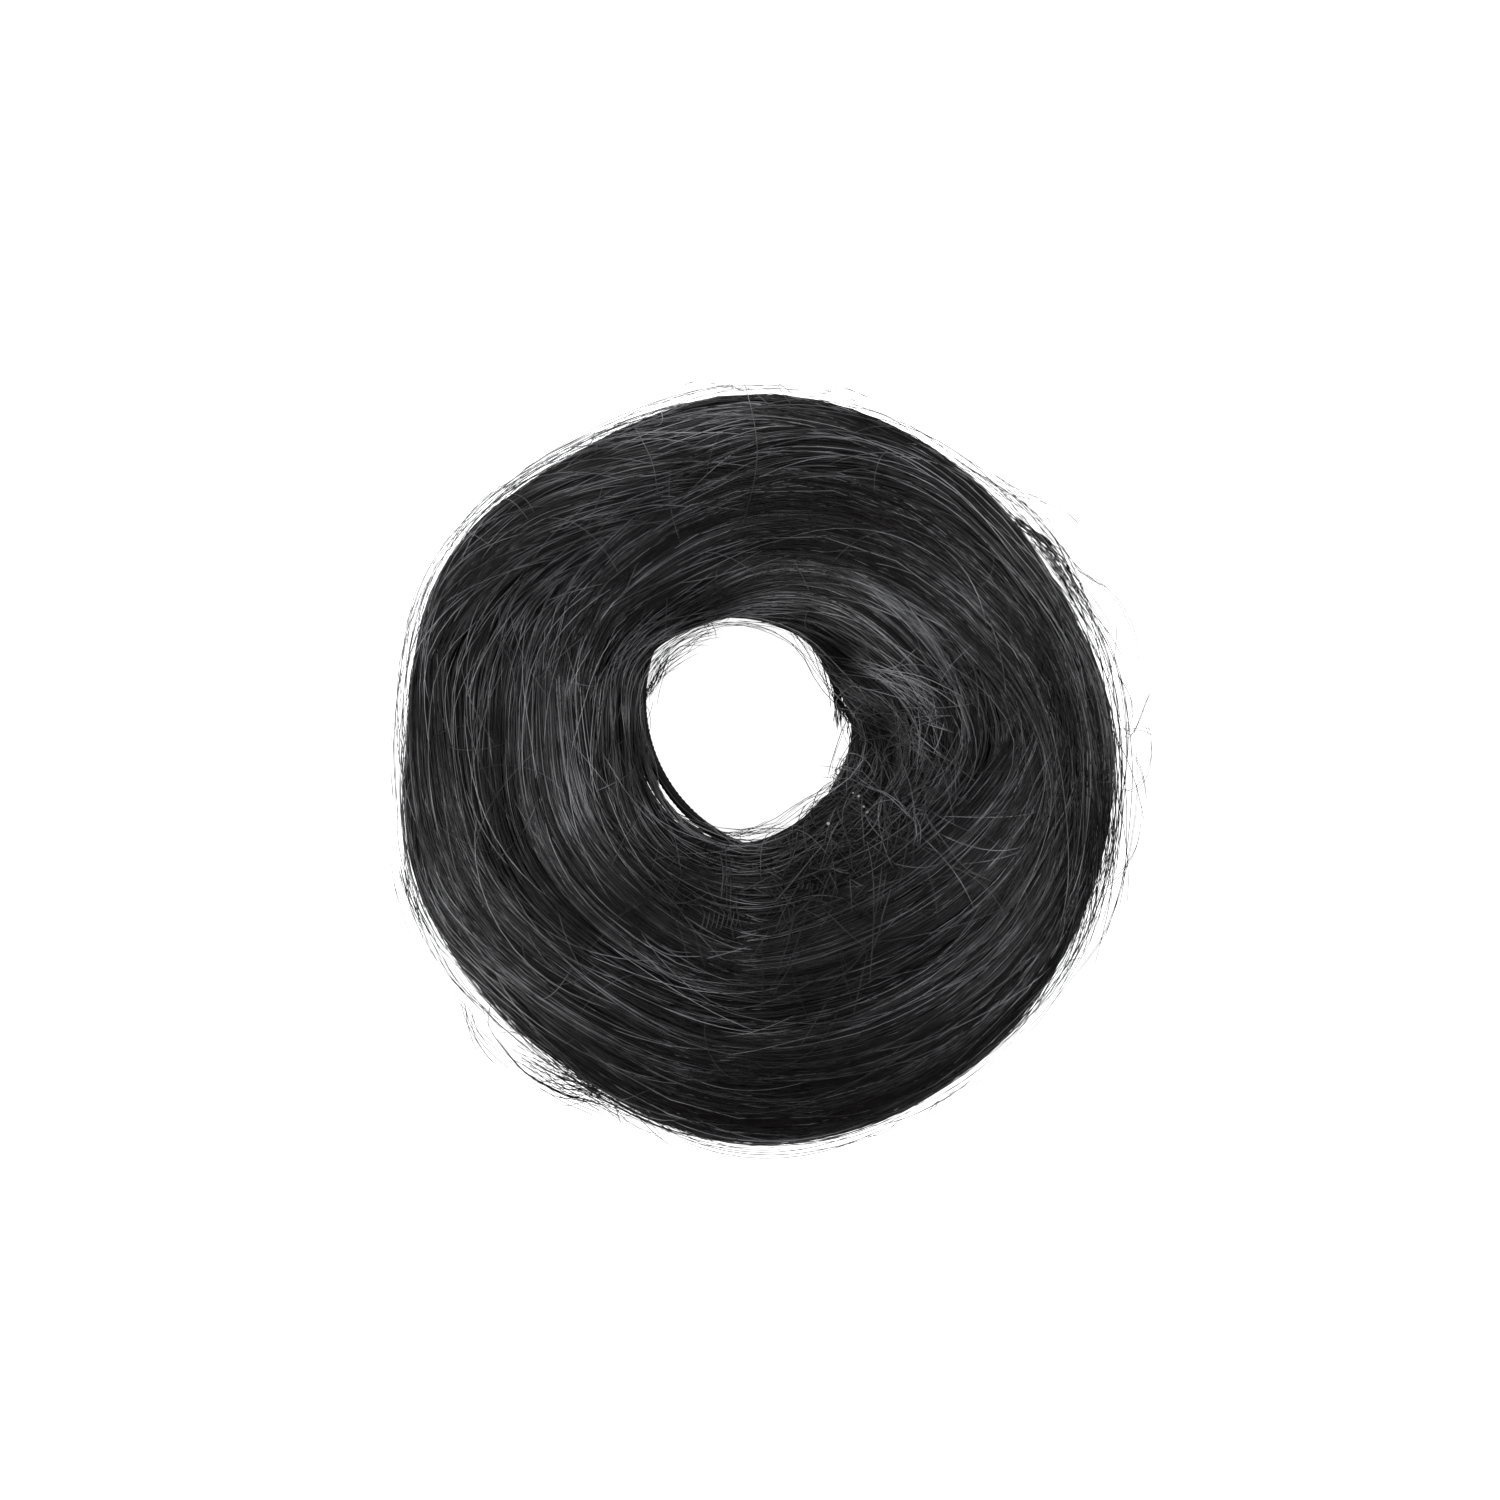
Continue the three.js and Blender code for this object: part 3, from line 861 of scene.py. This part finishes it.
def elastic_loop():
    """The covered loop: a ring of rubber with thread wound round it."""
    core = primitive(
        "elastic_loop_core", elastic_thread, bpy.ops.mesh.primitive_torus_add,
        major_segments=160, minor_segments=16, major_radius=LOOP_RADIUS * MM,
        minor_radius=LOOP_CORE_RADIUS * MM, location=Vector(LOOP_MIDDLE) * MM,
    )
    bpy.ops.object.transform_apply(location=True)
    core.data.shade_smooth()
    threads, turns, points = 10, 22, 170
    around = np.linspace(0, 2 * np.pi, points)
    start = np.arange(threads)[:, None] * 2 * np.pi / threads
    twist = start + turns * around
    out = np.stack([np.cos(around), np.sin(around), np.zeros(points)], axis=-1)
    outward = np.cos(twist)[..., None] * out + np.sin(twist)[..., None] * (0, 0, 1)
    paths = LOOP_MIDDLE + LOOP_RADIUS * out + THREAD_REACH * outward
    cover = Strands()
    cover.add(paths, outward, np.full(twist.shape, THREAD_RADIUS), np.full(twist.shape, 0.2))
    cover = cover.build("elastic_loop_thread", elastic_thread)
    for piece in (core, cover):
        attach(piece, BODY)
    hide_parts("elastic_loop")


elastic_loop()

# The tuft of gathered ends: short hairs that cross, in a few heaps
TANGLE_HEAPS = (  # pixel of the middle, spread in pixels, hairs, tone
    (868, 795, 26, 16, 60, 0.43),
    (905, 795, 24, 14, 50, 0.44),
    (838, 850, 28, 16, 60, 0.34),
    (885, 850, 30, 20, 60, 0.35),
    (925, 845, 22, 22, 34, 0.45),
    (800, 890, 34, 14, 46, 0.32),
    (850, 905, 30, 16, 40, 0.32),
    (925, 715, 34, 34, 50, 0.5),
    (700, 880, 40, 20, 40, 0.32),
    (790, 925, 60, 16, 26, 0.3),
)


def tuft_core():
    """The low pad that the ends lie on."""
    piece = primitive(
        "end_tuft_core", core_hair, bpy.ops.mesh.primitive_uv_sphere_add,
        segments=24, ring_count=16, radius=1, location=(0, 0, 0),
    )
    x, y, z = points_of(piece).T
    angle, turn = -42 + 16 * x, 126 + 13 * y
    lift = np.where(z > 0, 1.1 * z, 0.8 * z)
    flow = np.stack([x * 12, y * 5, z], axis=1)
    reshape(piece, on_ring(angle, turn, lift), flow)
    return hair_piece(piece, "end_tuft")


def tangle():
    """The short hairs of the heaps."""
    ends = Strands()
    for x, y, spread_x, spread_y, hairs, tone in TANGLE_HEAPS:
        pixels = np.stack([chance.normal(x, spread_x, hairs), chance.normal(y, spread_y, hairs)], axis=1)
        angle, turn, off = under_pixels(pixels)
        loose_hairs(
            ends, angle, turn,
            length=chance.uniform(4, 13, hairs),
            swerve=chance.uniform(-np.pi, np.pi, hairs),
            curl=chance.normal(0, 0.055, hairs),
            lift=chance.uniform(0.2, 2.4, hairs),
            bow=chance.uniform(0, 1.4, hairs),
            thickness=chance.uniform(0.04, 0.09, hairs),
            tone=tones_about(tone, 0.2, 0.05, hairs),
            points=9,
        )
    return hair_piece(ends.build("end_tuft_hair", strand_hair))


tuft_core()
tangle()

# Single hairs that lie across the others, on all of the upper side
strays = Strands()
STRAYS = 760
wild = chance.random(STRAYS) < 0.3
loose_hairs(
    strays,
    angle=chance.uniform(0, 360, STRAYS),
    turn=chance.uniform(-5, 170, STRAYS),
    length=np.where(wild, chance.uniform(6, 18, STRAYS), chance.uniform(14, 42, STRAYS)),
    swerve=either_way(np.where(wild, 0.3, 0.07), STRAYS),
    curl=chance.normal(0, 0.006, STRAYS),
    lift=chance.uniform(0.4, 2.5, STRAYS),
    bow=chance.uniform(0, 0.7, STRAYS),
    thickness=chance.uniform(0.045, 0.075, STRAYS),
    tone=tones_about(0.6, 0.22, 0.1, STRAYS),
)

# More of them at the upper left, paler: partly lighter hairs, partly painted glints
UPPER_LEFT = 150
loose_hairs(
    strays,
    angle=chance.uniform(98, 168, UPPER_LEFT),
    turn=chance.uniform(12, 95, UPPER_LEFT),
    length=chance.uniform(6, 20, UPPER_LEFT),
    swerve=either_way(0.2, UPPER_LEFT),
    curl=chance.normal(0, 0.01, UPPER_LEFT),
    lift=chance.uniform(1.0, 2.8, UPPER_LEFT),
    bow=chance.uniform(0, 0.5, UPPER_LEFT),
    thickness=chance.uniform(0.045, 0.065, UPPER_LEFT),
    tone=tones_about(0.85, 0.2, 0.3, UPPER_LEFT),
    points=9,
)

# Hairs that cross steeply or curl
CURLED = 70
loose_hairs(
    strays,
    angle=chance.uniform(0, 360, CURLED),
    turn=chance.uniform(20, 150, CURLED),
    length=chance.uniform(6, 18, CURLED),
    swerve=chance.uniform(-np.pi, np.pi, CURLED),
    curl=chance.normal(0, 0.09, CURLED),
    lift=chance.uniform(0.8, 2.4, CURLED),
    bow=chance.uniform(0.2, 1.0, CURLED),
    thickness=chance.uniform(0.04, 0.08, CURLED),
    tone=tones_about(0.5, 0.15, 0.1, CURLED),
)

# Single hairs that catch the eye: lift, tone and pixels
SINGLE_HAIRS = (
    (2.6, 0.55, (743, 394, 750, 418, 755, 440, 757, 461, 754, 485, 747, 509, 739, 531)),
    (2.6, 0.6, (553, 525, 566, 525, 580, 529, 597, 541, 609, 557, 617, 572)),
    (2.2, 0.8, (507, 517, 511, 510, 517, 508, 524, 512, 530, 519, 536, 527)),
    (2.0, 0.7, (516, 503, 526, 503, 535, 509, 541, 520)),
    (2.2, 0.5, (463, 539, 476, 539, 490, 545, 503, 555)),
    (2.8, 0.6, (688, 549, 709, 546, 731, 551, 750, 560, 758, 567)),
    (2.6, 0.5, (706, 609, 726, 582, 752, 568, 775, 560)),
    (2.6, 0.55, (608, 494, 602, 509, 594, 525, 588, 543)),
    (2.2, 0.6, (472, 716, 478, 740, 485, 763)),
    (2.2, 0.6, (664, 421, 666, 430, 664, 436, 658, 438)),
    (2.8, 0.65, (597, 665, 610, 649, 637, 624, 664, 603, 691, 583, 715, 573, 732, 571)),
    (2.8, 0.65, (672, 560, 701, 547, 724, 540, 746, 534)),
    (2.8, 0.75, (612, 521, 648, 510, 668, 508, 690, 508)),
    (2.4, 0.85, (573, 462, 590, 459, 621, 454)),
    (2.6, 0.9, (642, 484, 652, 483, 664, 481)),
    (2.6, 0.85, (608, 504, 615, 503, 624, 502)),
    (2.6, 0.85, (662, 501, 669, 500, 677, 500)),
    (2.6, 0.9, (725, 465, 733, 464, 741, 464)),
    (2.6, 0.85, (754, 460, 762, 460, 771, 460)),
    (2.4, 0.9, (555, 537, 565, 534, 576, 531)),
    (2.4, 0.8, (567, 536, 577, 532, 587, 528)),
    (2.6, 0.6, (1036, 762, 1040, 792, 1042, 818)),
    (2.4, 0.6, (1065, 770, 1072, 813, 1071, 842)),
    (2.4, 0.6, (1072, 774, 1082, 779, 1093, 780, 1104, 775)),
    (2.8, 0.55, (931, 772, 930, 800, 931, 820, 945, 842, 964, 867, 993, 881)),
    (2.6, 0.6, (1040, 590, 1052, 640, 1060, 700, 1062, 760, 1059, 830)),
    (2.6, 0.5, (872, 842, 876, 880, 874, 930, 868, 985)),
    (2.4, 0.5, (868, 950, 860, 980, 852, 1012)),
    (2.4, 0.55, (826, 1000, 815, 1018, 800, 1040)),
    (2.4, 0.5, (640, 440, 655, 470, 660, 500)),
    (2.4, 0.5, (500, 640, 512, 660, 516, 690, 512, 720)),
)
drawn_hairs(strays, SINGLE_HAIRS, 1, 0.0, 0.07)

# Hair that runs on over the places where locks meet
MEETINGS = (
    (2.9, 0.25, (985, 560, 1030, 625, 1058, 690, 1068, 760, 1070, 835, 1058, 920, 1030, 985)),
    (3.1, 0.25, (1020, 600, 1052, 660, 1074, 730, 1082, 800, 1078, 880, 1056, 950)),
    (2.9, 0.22, (1045, 610, 1078, 670, 1095, 740, 1098, 800, 1092, 870, 1068, 950)),
    (2.7, 0.2, (950, 600, 1000, 660, 1030, 720, 1040, 790, 1020, 860, 985, 925)),
)
drawn_hairs(strays, MEETINGS, 20, 9.0, 0.075, spread=0.25)

# The fan that slants down to the tuft at the right of the hole, and the crossed pad below it
FAN = (
    (3.3, 0.62, (852, 650, 900, 678, 950, 716)),
    (3.4, 0.65, (876, 656, 914, 682, 948, 724)),
    (3.0, 0.5, (846, 668, 880, 696, 912, 726)),
)
CROSSED_PAD = (
    (3.3, 0.52, (876, 706, 908, 732, 940, 762)),
    (3.5, 0.46, (932, 704, 922, 738, 904, 776)),
    (3.3, 0.34, (962, 742, 940, 790, 905, 850)),
)
drawn_hairs(strays, FAN, 16, 6.0, 0.055, 10, 0.25)
drawn_hairs(strays, CROSSED_PAD, 16, 10.0, 0.06, 10, 0.22)

# Hairs at the roots of the tuft and below the hole
ROOT_HAIRS = (
    (2.6, 0.6, (852, 704, 874, 712, 890, 728, 904, 730)),
    (2.6, 0.6, (864, 725, 876, 738, 888, 750)),
    (2.6, 0.6, (858, 780, 872, 768, 888, 754)),
    (2.6, 0.75, (832, 774, 860, 776, 870, 780)),
    (2.6, 0.7, (834, 788, 850, 786, 866, 786)),
    (3.0, 0.75, (868, 782, 884, 794, 898, 802, 920, 826)),
    (2.8, 0.7, (922, 852, 924, 830, 918, 812, 932, 814)),
    (2.4, 0.7, (680, 820, 701, 837, 741, 858, 779, 861)),
    (2.6, 0.9, (738, 937, 755, 940, 773, 941)),
    (2.6, 0.9, (706, 954, 725, 955, 744, 955)),
    (2.6, 0.7, (744, 921, 757, 925, 770, 927)),
    (2.6, 0.75, (640, 940, 669, 956, 704, 959)),
    (2.6, 0.75, (640, 950, 669, 976, 709, 990, 764, 1001)),
    (2.8, 0.5, (767, 993, 784, 970, 813, 941, 877, 927)),
    (2.8, 0.5, (776, 976, 788, 948, 796, 921)),
    (2.8, 0.5, (825, 993, 854, 964, 868, 936)),
    (2.8, 0.5, (886, 866, 880, 901, 871, 941)),
    (2.6, 0.6, (660, 842, 672, 863, 678, 886)),
    (2.6, 0.55, (722, 858, 724, 878, 718, 904)),
    (2.8, 0.6, (758, 884, 784, 878, 808, 863, 836, 846)),
    (2.6, 0.5, (776, 895, 788, 906, 799, 915)),
    (2.6, 0.6, (836, 863, 839, 886, 834, 904)),
    (2.6, 0.85, (834, 875, 844, 878, 854, 879)),
    (2.6, 0.7, (848, 892, 858, 891, 868, 889)),
)
drawn_hairs(strays, ROOT_HAIRS, 2, 4.0, 0.07, 10, 0.1)

# The short slanting stitches that hold the hair to the loop
STITCH_STEP = 5


def stitches(count, lift, tone, *ends):
    """A row of stitches alike, from the pixels of the first one."""
    steps = [STITCH_STEP * index for index in range(count)]
    return alike(lift, tone, [[(x + step, y) for x, y in ends] for step in steps])


LONG_STITCHES = stitches(8, 2.5, 0.45, (704, 917), (702, 927), (699, 936))
SMALL_STITCHES = stitches(5, 2.3, 0.4, (801, 889), (800, 893), (798, 897))
drawn_hairs(strays, LONG_STITCHES + SMALL_STITCHES, 1, 0.0, 0.09, 6)
hair_piece(strays.build("single_hairs", strand_hair))

# Hairs that stand off the outline
flyaways = Strands()
FUZZ = 300
loose_hairs(
    flyaways,
    angle=chance.uniform(-178, 95, FUZZ),
    turn=chance.uniform(-28, 22, FUZZ),
    length=chance.uniform(8, 34, FUZZ),
    swerve=either_way(0.14, FUZZ),
    curl=chance.normal(0, 0.01, FUZZ),
    lift=chance.uniform(-0.2, 0.3, FUZZ),
    bow=chance.exponential(0.22, FUZZ),
    thickness=chance.uniform(0.05, 0.09, FUZZ),
    tone=tones_about(0.2, 0.1, 0, FUZZ),
)


def outline_bundle(strands, start, stop, offs, hairs):
    """Hairs that leave the outline together between two angles. offs are how far, in millimetres, at
    the start, the middle and the end."""
    share = np.linspace(0, 1, LONG_HAIR)
    first = chance.uniform(-0.1, 0.35, hairs)[:, None]
    last = chance.uniform(0.65, 1.1, hairs)[:, None]
    shares = first + (last - first) * share
    weight = chance.beta(1.0, 1.7, hairs)[:, None] + 0.06
    angle, off = lock_path(start, stop, offs, shares)
    turn = chance.uniform(-25, 25, hairs)[:, None] + chance.normal(0, 12, hairs)[:, None] * (share - 0.5)
    radius = tapered(LONG_HAIR, chance.uniform(0.05, 0.085, hairs), 0.6)
    tones = np.repeat(chance.uniform(0.0, 0.25, hairs)[:, None], LONG_HAIR, axis=1)
    lay(strands, angle, turn, np.maximum(off * weight, -0.1), radius, tones)


OUTLINE_BUNDLES = (  # angles, how far off at the start, middle and end, hairs
    (38, -8, (0.1, 5.4, 3.4), 3),
    (208, 256, (0.2, 4.4, 0.6), 5),
    (222, 268, (0.2, 1.8, 0.3), 16),
    (172, 222, (0.6, 1.8, 1.2), 30),
    (6, -52, (0.6, 3.2, 0.4), 5),
    (-24, -74, (0.2, 2.4, 0.2), 9),
)
for start, stop, offs, hairs in OUTLINE_BUNDLES:
    outline_bundle(flyaways, start, stop, offs, hairs)


def fringe(strands, start, stop, reach, hairs):
    """Short hairs that leave the outline at a slant, either way round."""
    first = chance.uniform(start, stop, hairs)[:, None]
    share = np.linspace(0, 1, SHORT_HAIR)
    way = chance.choice((-1, 1), hairs, p=(0.35, 0.65))[:, None]
    angle = first + way * chance.uniform(2, 11, hairs)[:, None] * share
    turn = chance.uniform(-25, 25, hairs)[:, None] + chance.normal(0, 14, hairs)[:, None] * share
    off = reach * chance.beta(1.1, 2.2, hairs)[:, None]
    lift = -0.4 + off * share ** chance.uniform(0.8, 1.8, hairs)[:, None]
    radius = tapered(SHORT_HAIR, chance.uniform(0.05, 0.075, hairs), 0.5)
    lay(strands, angle, turn, lift, radius, np.full(lift.shape, 0.15))


FRINGES = (  # angles, how far off in millimetres, hairs
    (190, 262, 2.6, 120),
    (226, 256, 5.5, 70),
    (262, 300, 1.4, 40),
    (300, 410, 1.5, 50),
    (60, 98, 0.8, 24),
    (98, 170, 0.3, 40),
)
for start, stop, reach, hairs in FRINGES:
    fringe(flyaways, start, stop, reach, hairs)

# Bundles that stand off at the upper right and the lower left: copies, scatter in pixels, half a
# hair's thickness, and the line
DRAWN_BUNDLES = (
    (14, 2.2, 0.11, (998, 506, 1020, 524, 1042, 541, 1062, 558)),
    (12, 4.0, 0.095, (1024, 528, 1046, 545, 1066, 570, 1084, 602)),
    (10, 5.5, 0.065, (1046, 546, 1070, 574, 1090, 610, 1104, 648)),
    (8, 3.0, 0.085, (1030, 540, 1052, 568, 1072, 598, 1088, 628)),
    (7, 4.5, 0.06, (1076, 592, 1097, 628, 1110, 662, 1115, 700)),
    (16, 6.0, 0.05, (945, 452, 982, 476, 1018, 499, 1048, 530, 1072, 562)),
    (6, 6.0, 0.05, (1018, 497, 1050, 532, 1082, 572, 1110, 590)),
    (3, 1.5, 0.065, (425, 935, 436, 958, 455, 983, 478, 1004, 502, 1022)),
    (4, 1.5, 0.065, (481, 1003, 490, 1028, 503, 1048, 526, 1073, 560, 1092, 590, 1101, 632, 1112)),
    (5, 5.0, 0.07, (464, 1000, 470, 1024, 487, 1049, 512, 1071)),
    (18, 9.0, 0.065, (505, 1050, 530, 1062, 562, 1078, 596, 1090, 640, 1112)),
    (14, 8.0, 0.065, (526, 1062, 560, 1090, 600, 1098, 640, 1118)),
    (18, 5.0, 0.07, (560, 1066, 600, 1088, 640, 1110, 690, 1132)),
    (20, 4.5, 0.055, (402, 845, 408, 885, 421, 922, 442, 960)),
)
for copies, scatter, thickness, line in DRAWN_BUNDLES:
    drawn_hairs(flyaways, alike(0.0, 0.03, (line,)), copies, scatter, thickness)

# Single hairs off the outline
OUTLINE_HAIRS = alike(0.2, 0.2, (
    (1000, 494, 1030, 500, 1058, 509, 1082, 528),
    (1078, 565, 1098, 582, 1120, 604, 1135, 638, 1138, 682),
    (1100, 660, 1112, 672, 1122, 684, 1131, 704, 1129, 724, 1114, 758),
    (1110, 728, 1126, 729, 1144, 728, 1160, 733),
    (1108, 690, 1128, 735, 1146, 700, 1150, 688),
    (1120, 740, 1136, 760, 1143, 781, 1146, 806),
    (1106, 780, 1128, 790, 1146, 770, 1150, 740, 1140, 705),
    (1142, 790, 1137, 840, 1124, 868, 1108, 889, 1090, 906),
    (1130, 700, 1136, 780, 1126, 860, 1104, 930, 1073, 975, 1040, 1015),
    (1098, 905, 1090, 937, 1073, 969, 1049, 1006, 1028, 1031, 1000, 1048),
    (1060, 962, 1070, 959, 1080, 957),
    (940, 1096, 930, 1108, 920, 1124),
    (1010, 1050, 985, 1076, 960, 1090, 930, 1104),
    (660, 400, 685, 386, 705, 383, 722, 388),
    (700, 388, 722, 384, 742, 392, 752, 400),
    (815, 398, 840, 390, 862, 396, 880, 404),
    (596, 432, 592, 444, 584, 452),
    (407, 660, 398, 700, 395, 760, 400, 820),
    (412, 880, 424, 930, 448, 985, 476, 1020),
    (462, 1000, 478, 1030, 512, 1060, 545, 1086),
    (520, 1072, 560, 1090, 600, 1106, 640, 1122),
))
drawn_hairs(flyaways, OUTLINE_HAIRS, 2, 2.0, 0.055)

# Hairs that cross the hole's edge, as pixels
HOLE_HAIRS = alike(0.1, 0.2, (
    (638, 716, 644, 690, 656, 664, 678, 641, 706, 626, 735, 620),
    (650, 700, 654, 676, 668, 656, 690, 640, 712, 630),
    (644, 735, 640, 705, 646, 676, 664, 650, 690, 632),
    (634, 700, 646, 706, 650, 724, 646, 740),
    (700, 628, 730, 622, 760, 622, 790, 630),
    (716, 638, 714, 628, 706, 616, 692, 608),
    (706, 832, 734, 834, 764, 832, 794, 824),
))

# Nets of short hairs at its edge, and the wisp in its right side
HOLE_NET = alike(0.1, 0.2, (
    (636, 726, 646, 694, 664, 664, 686, 644),
    (644, 704, 662, 668, 700, 636),
    (636, 700, 652, 690, 664, 666, 670, 648),
    (664, 660, 690, 640, 726, 626),
    (784, 624, 806, 640, 826, 664),
    (716, 838, 748, 833, 792, 822),
))
WISP = alike(0.1, 0.05, (
    (822, 650, 830, 672, 836, 698, 839, 726),
    (826, 648, 835, 676, 841, 704, 842, 732),
    (840, 664, 849, 690, 853, 712, 852, 738),
    (836, 684, 843, 704, 848, 716, 856, 724),
))
drawn_hairs(flyaways, HOLE_HAIRS, 2, 3.5, 0.055)
drawn_hairs(flyaways, HOLE_NET, 9, 4.0, 0.05, 8)
drawn_hairs(flyaways, WISP, 16, 1.8, 0.09)


def low_hairs(strands, lines, copies, scatter):
    """Hair low in the hole, between the ring and the loop, drawn over the photograph, coloured near black as
    painted shade.
    """
    slant = np.linspace(-1, 1, LONG_HAIR)[:, None]
    for pixels in lines:
        line = smooth_line(pixels, np.linspace(0, 1, LONG_HAIR))
        wander = chance.normal(0, scatter, (copies, 1, 2))
        wander = wander + chance.normal(0, scatter, (copies, 1, 2)) * slant
        flat = (line + wander - MIDDLE_PIXEL) * (PIXEL, -PIXEL)
        height = np.broadcast_to(chance.uniform(*LOW_HEIGHTS, (copies, 1, 1)), (*flat.shape[:2], 1))
        paths = np.concatenate([flat, height], axis=2)
        radius = tapered(LONG_HAIR, chance.uniform(0.08, 0.14, copies), 0.5)
        # Their near-black tone is painted shade.
        strands.add(paths, np.broadcast_to((0.0, 0.0, 1.0), paths.shape), radius, np.full(radius.shape, 0.02))


LOW_HEIGHTS = (7.5, 13)  # millimetres
LOW_HAIRS = (
    (640, 672, 637, 700, 640, 728, 647, 752, 655, 772),
    (634, 680, 634, 710, 638, 740, 646, 766, 656, 786),
    (632, 700, 634, 735, 642, 768, 656, 796, 674, 818),
    (640, 745, 650, 778, 664, 803, 682, 822, 704, 836),
)
low_hairs(flyaways, LOW_HAIRS, 22, 1.5)
hair_piece(flyaways.build("flyaway_hairs", strand_hair))

# Beads of clear glue at the roots of the tuft: pixel and radius in millimetres
BEAD_LIFT = 2.2
GLUE_BEADS = ((867, 802, 0.24), (871, 812, 0.18), (874, 817, 0.24), (835, 832, 0.26), (862, 799, 0.15))


def glue_beads():
    beads = []
    for x, y, radius in GLUE_BEADS:
        angle, turn, off = under_pixels(np.array((x, y), float))
        middle = on_ring(angle, turn, off + BEAD_LIFT)
        bead = primitive(
            "glue_bead", clear_glue, bpy.ops.mesh.primitive_ico_sphere_add,
            subdivisions=2, radius=radius * MM, location=Vector(middle) * MM,
        )
        points = points_of(bead)
        bead.data.vertices.foreach_set("co", (points * chance.uniform(0.7, 1.2, points.shape)).ravel())
        beads.append(bead)
    for bead in beads:
        bead.select_set(True)
    bpy.ops.object.join()
    bpy.ops.object.transform_apply(location=True)
    piece = take_active("glue_beads", clear_glue)
    piece.data.shade_smooth()
    return hair_piece(piece)


glue_beads()


# Camera, lights and table

LIGHT_SIDE = 0.45  # metres
LIGHT_DISTANCE = 0.75
LIGHTS = (  # name, bearing, elevation and power
    ("light_left", 184, 55, 2.75),
    ("light_right", 4, 53, 2.65),
    ("light_top", 103, 28, 2.8),
    ("light_lower_left", 210, 28, 2.3),
    ("light_upper_right", 30, 28, 1.5),
)


def photo_camera():
    """The photograph's camera, straight above."""
    data = bpy.data.cameras.new("photo_camera")
    data.lens = LENS
    data.sensor_width = SENSOR
    camera = bpy.data.objects.new("photo_camera", data)
    camera.location = Vector((*VIEW_MIDDLE, VIEW_HEIGHT)) * MM
    bpy.context.scene.collection.objects.link(camera)
    bpy.context.scene.camera = camera


def softbox(name, bearing, elevation, power):
    """A square soft light, aimed at the hairpiece."""
    data = bpy.data.lights.new(name, "AREA")
    data.shape = "SQUARE"
    data.size = LIGHT_SIDE
    data.energy = power
    light = bpy.data.objects.new(name, data)
    flat = math.cos(math.radians(elevation))
    aim = Vector((
        flat * math.cos(math.radians(bearing)),
        flat * math.sin(math.radians(bearing)),
        math.sin(math.radians(elevation)),
    ))
    light.location = aim * LIGHT_DISTANCE
    light.rotation_euler = aim.to_track_quat("Z", "Y").to_euler()
    bpy.context.scene.collection.objects.link(light)


photo_camera()
for light in LIGHTS:
    softbox(*light)

world = bpy.data.worlds.new("studio")
world.use_nodes = True
sky = world.node_tree.nodes["Background"].inputs
sky["Color"].default_value = (0.96, 0.98, 1, 1)
sky["Strength"].default_value = 0.03
bpy.context.scene.world = world

floor = primitive("table", floor_finish(), bpy.ops.mesh.primitive_plane_add, size=3, location=(0, 0, 0))

bpy.context.scene.view_settings.view_transform = "Standard"
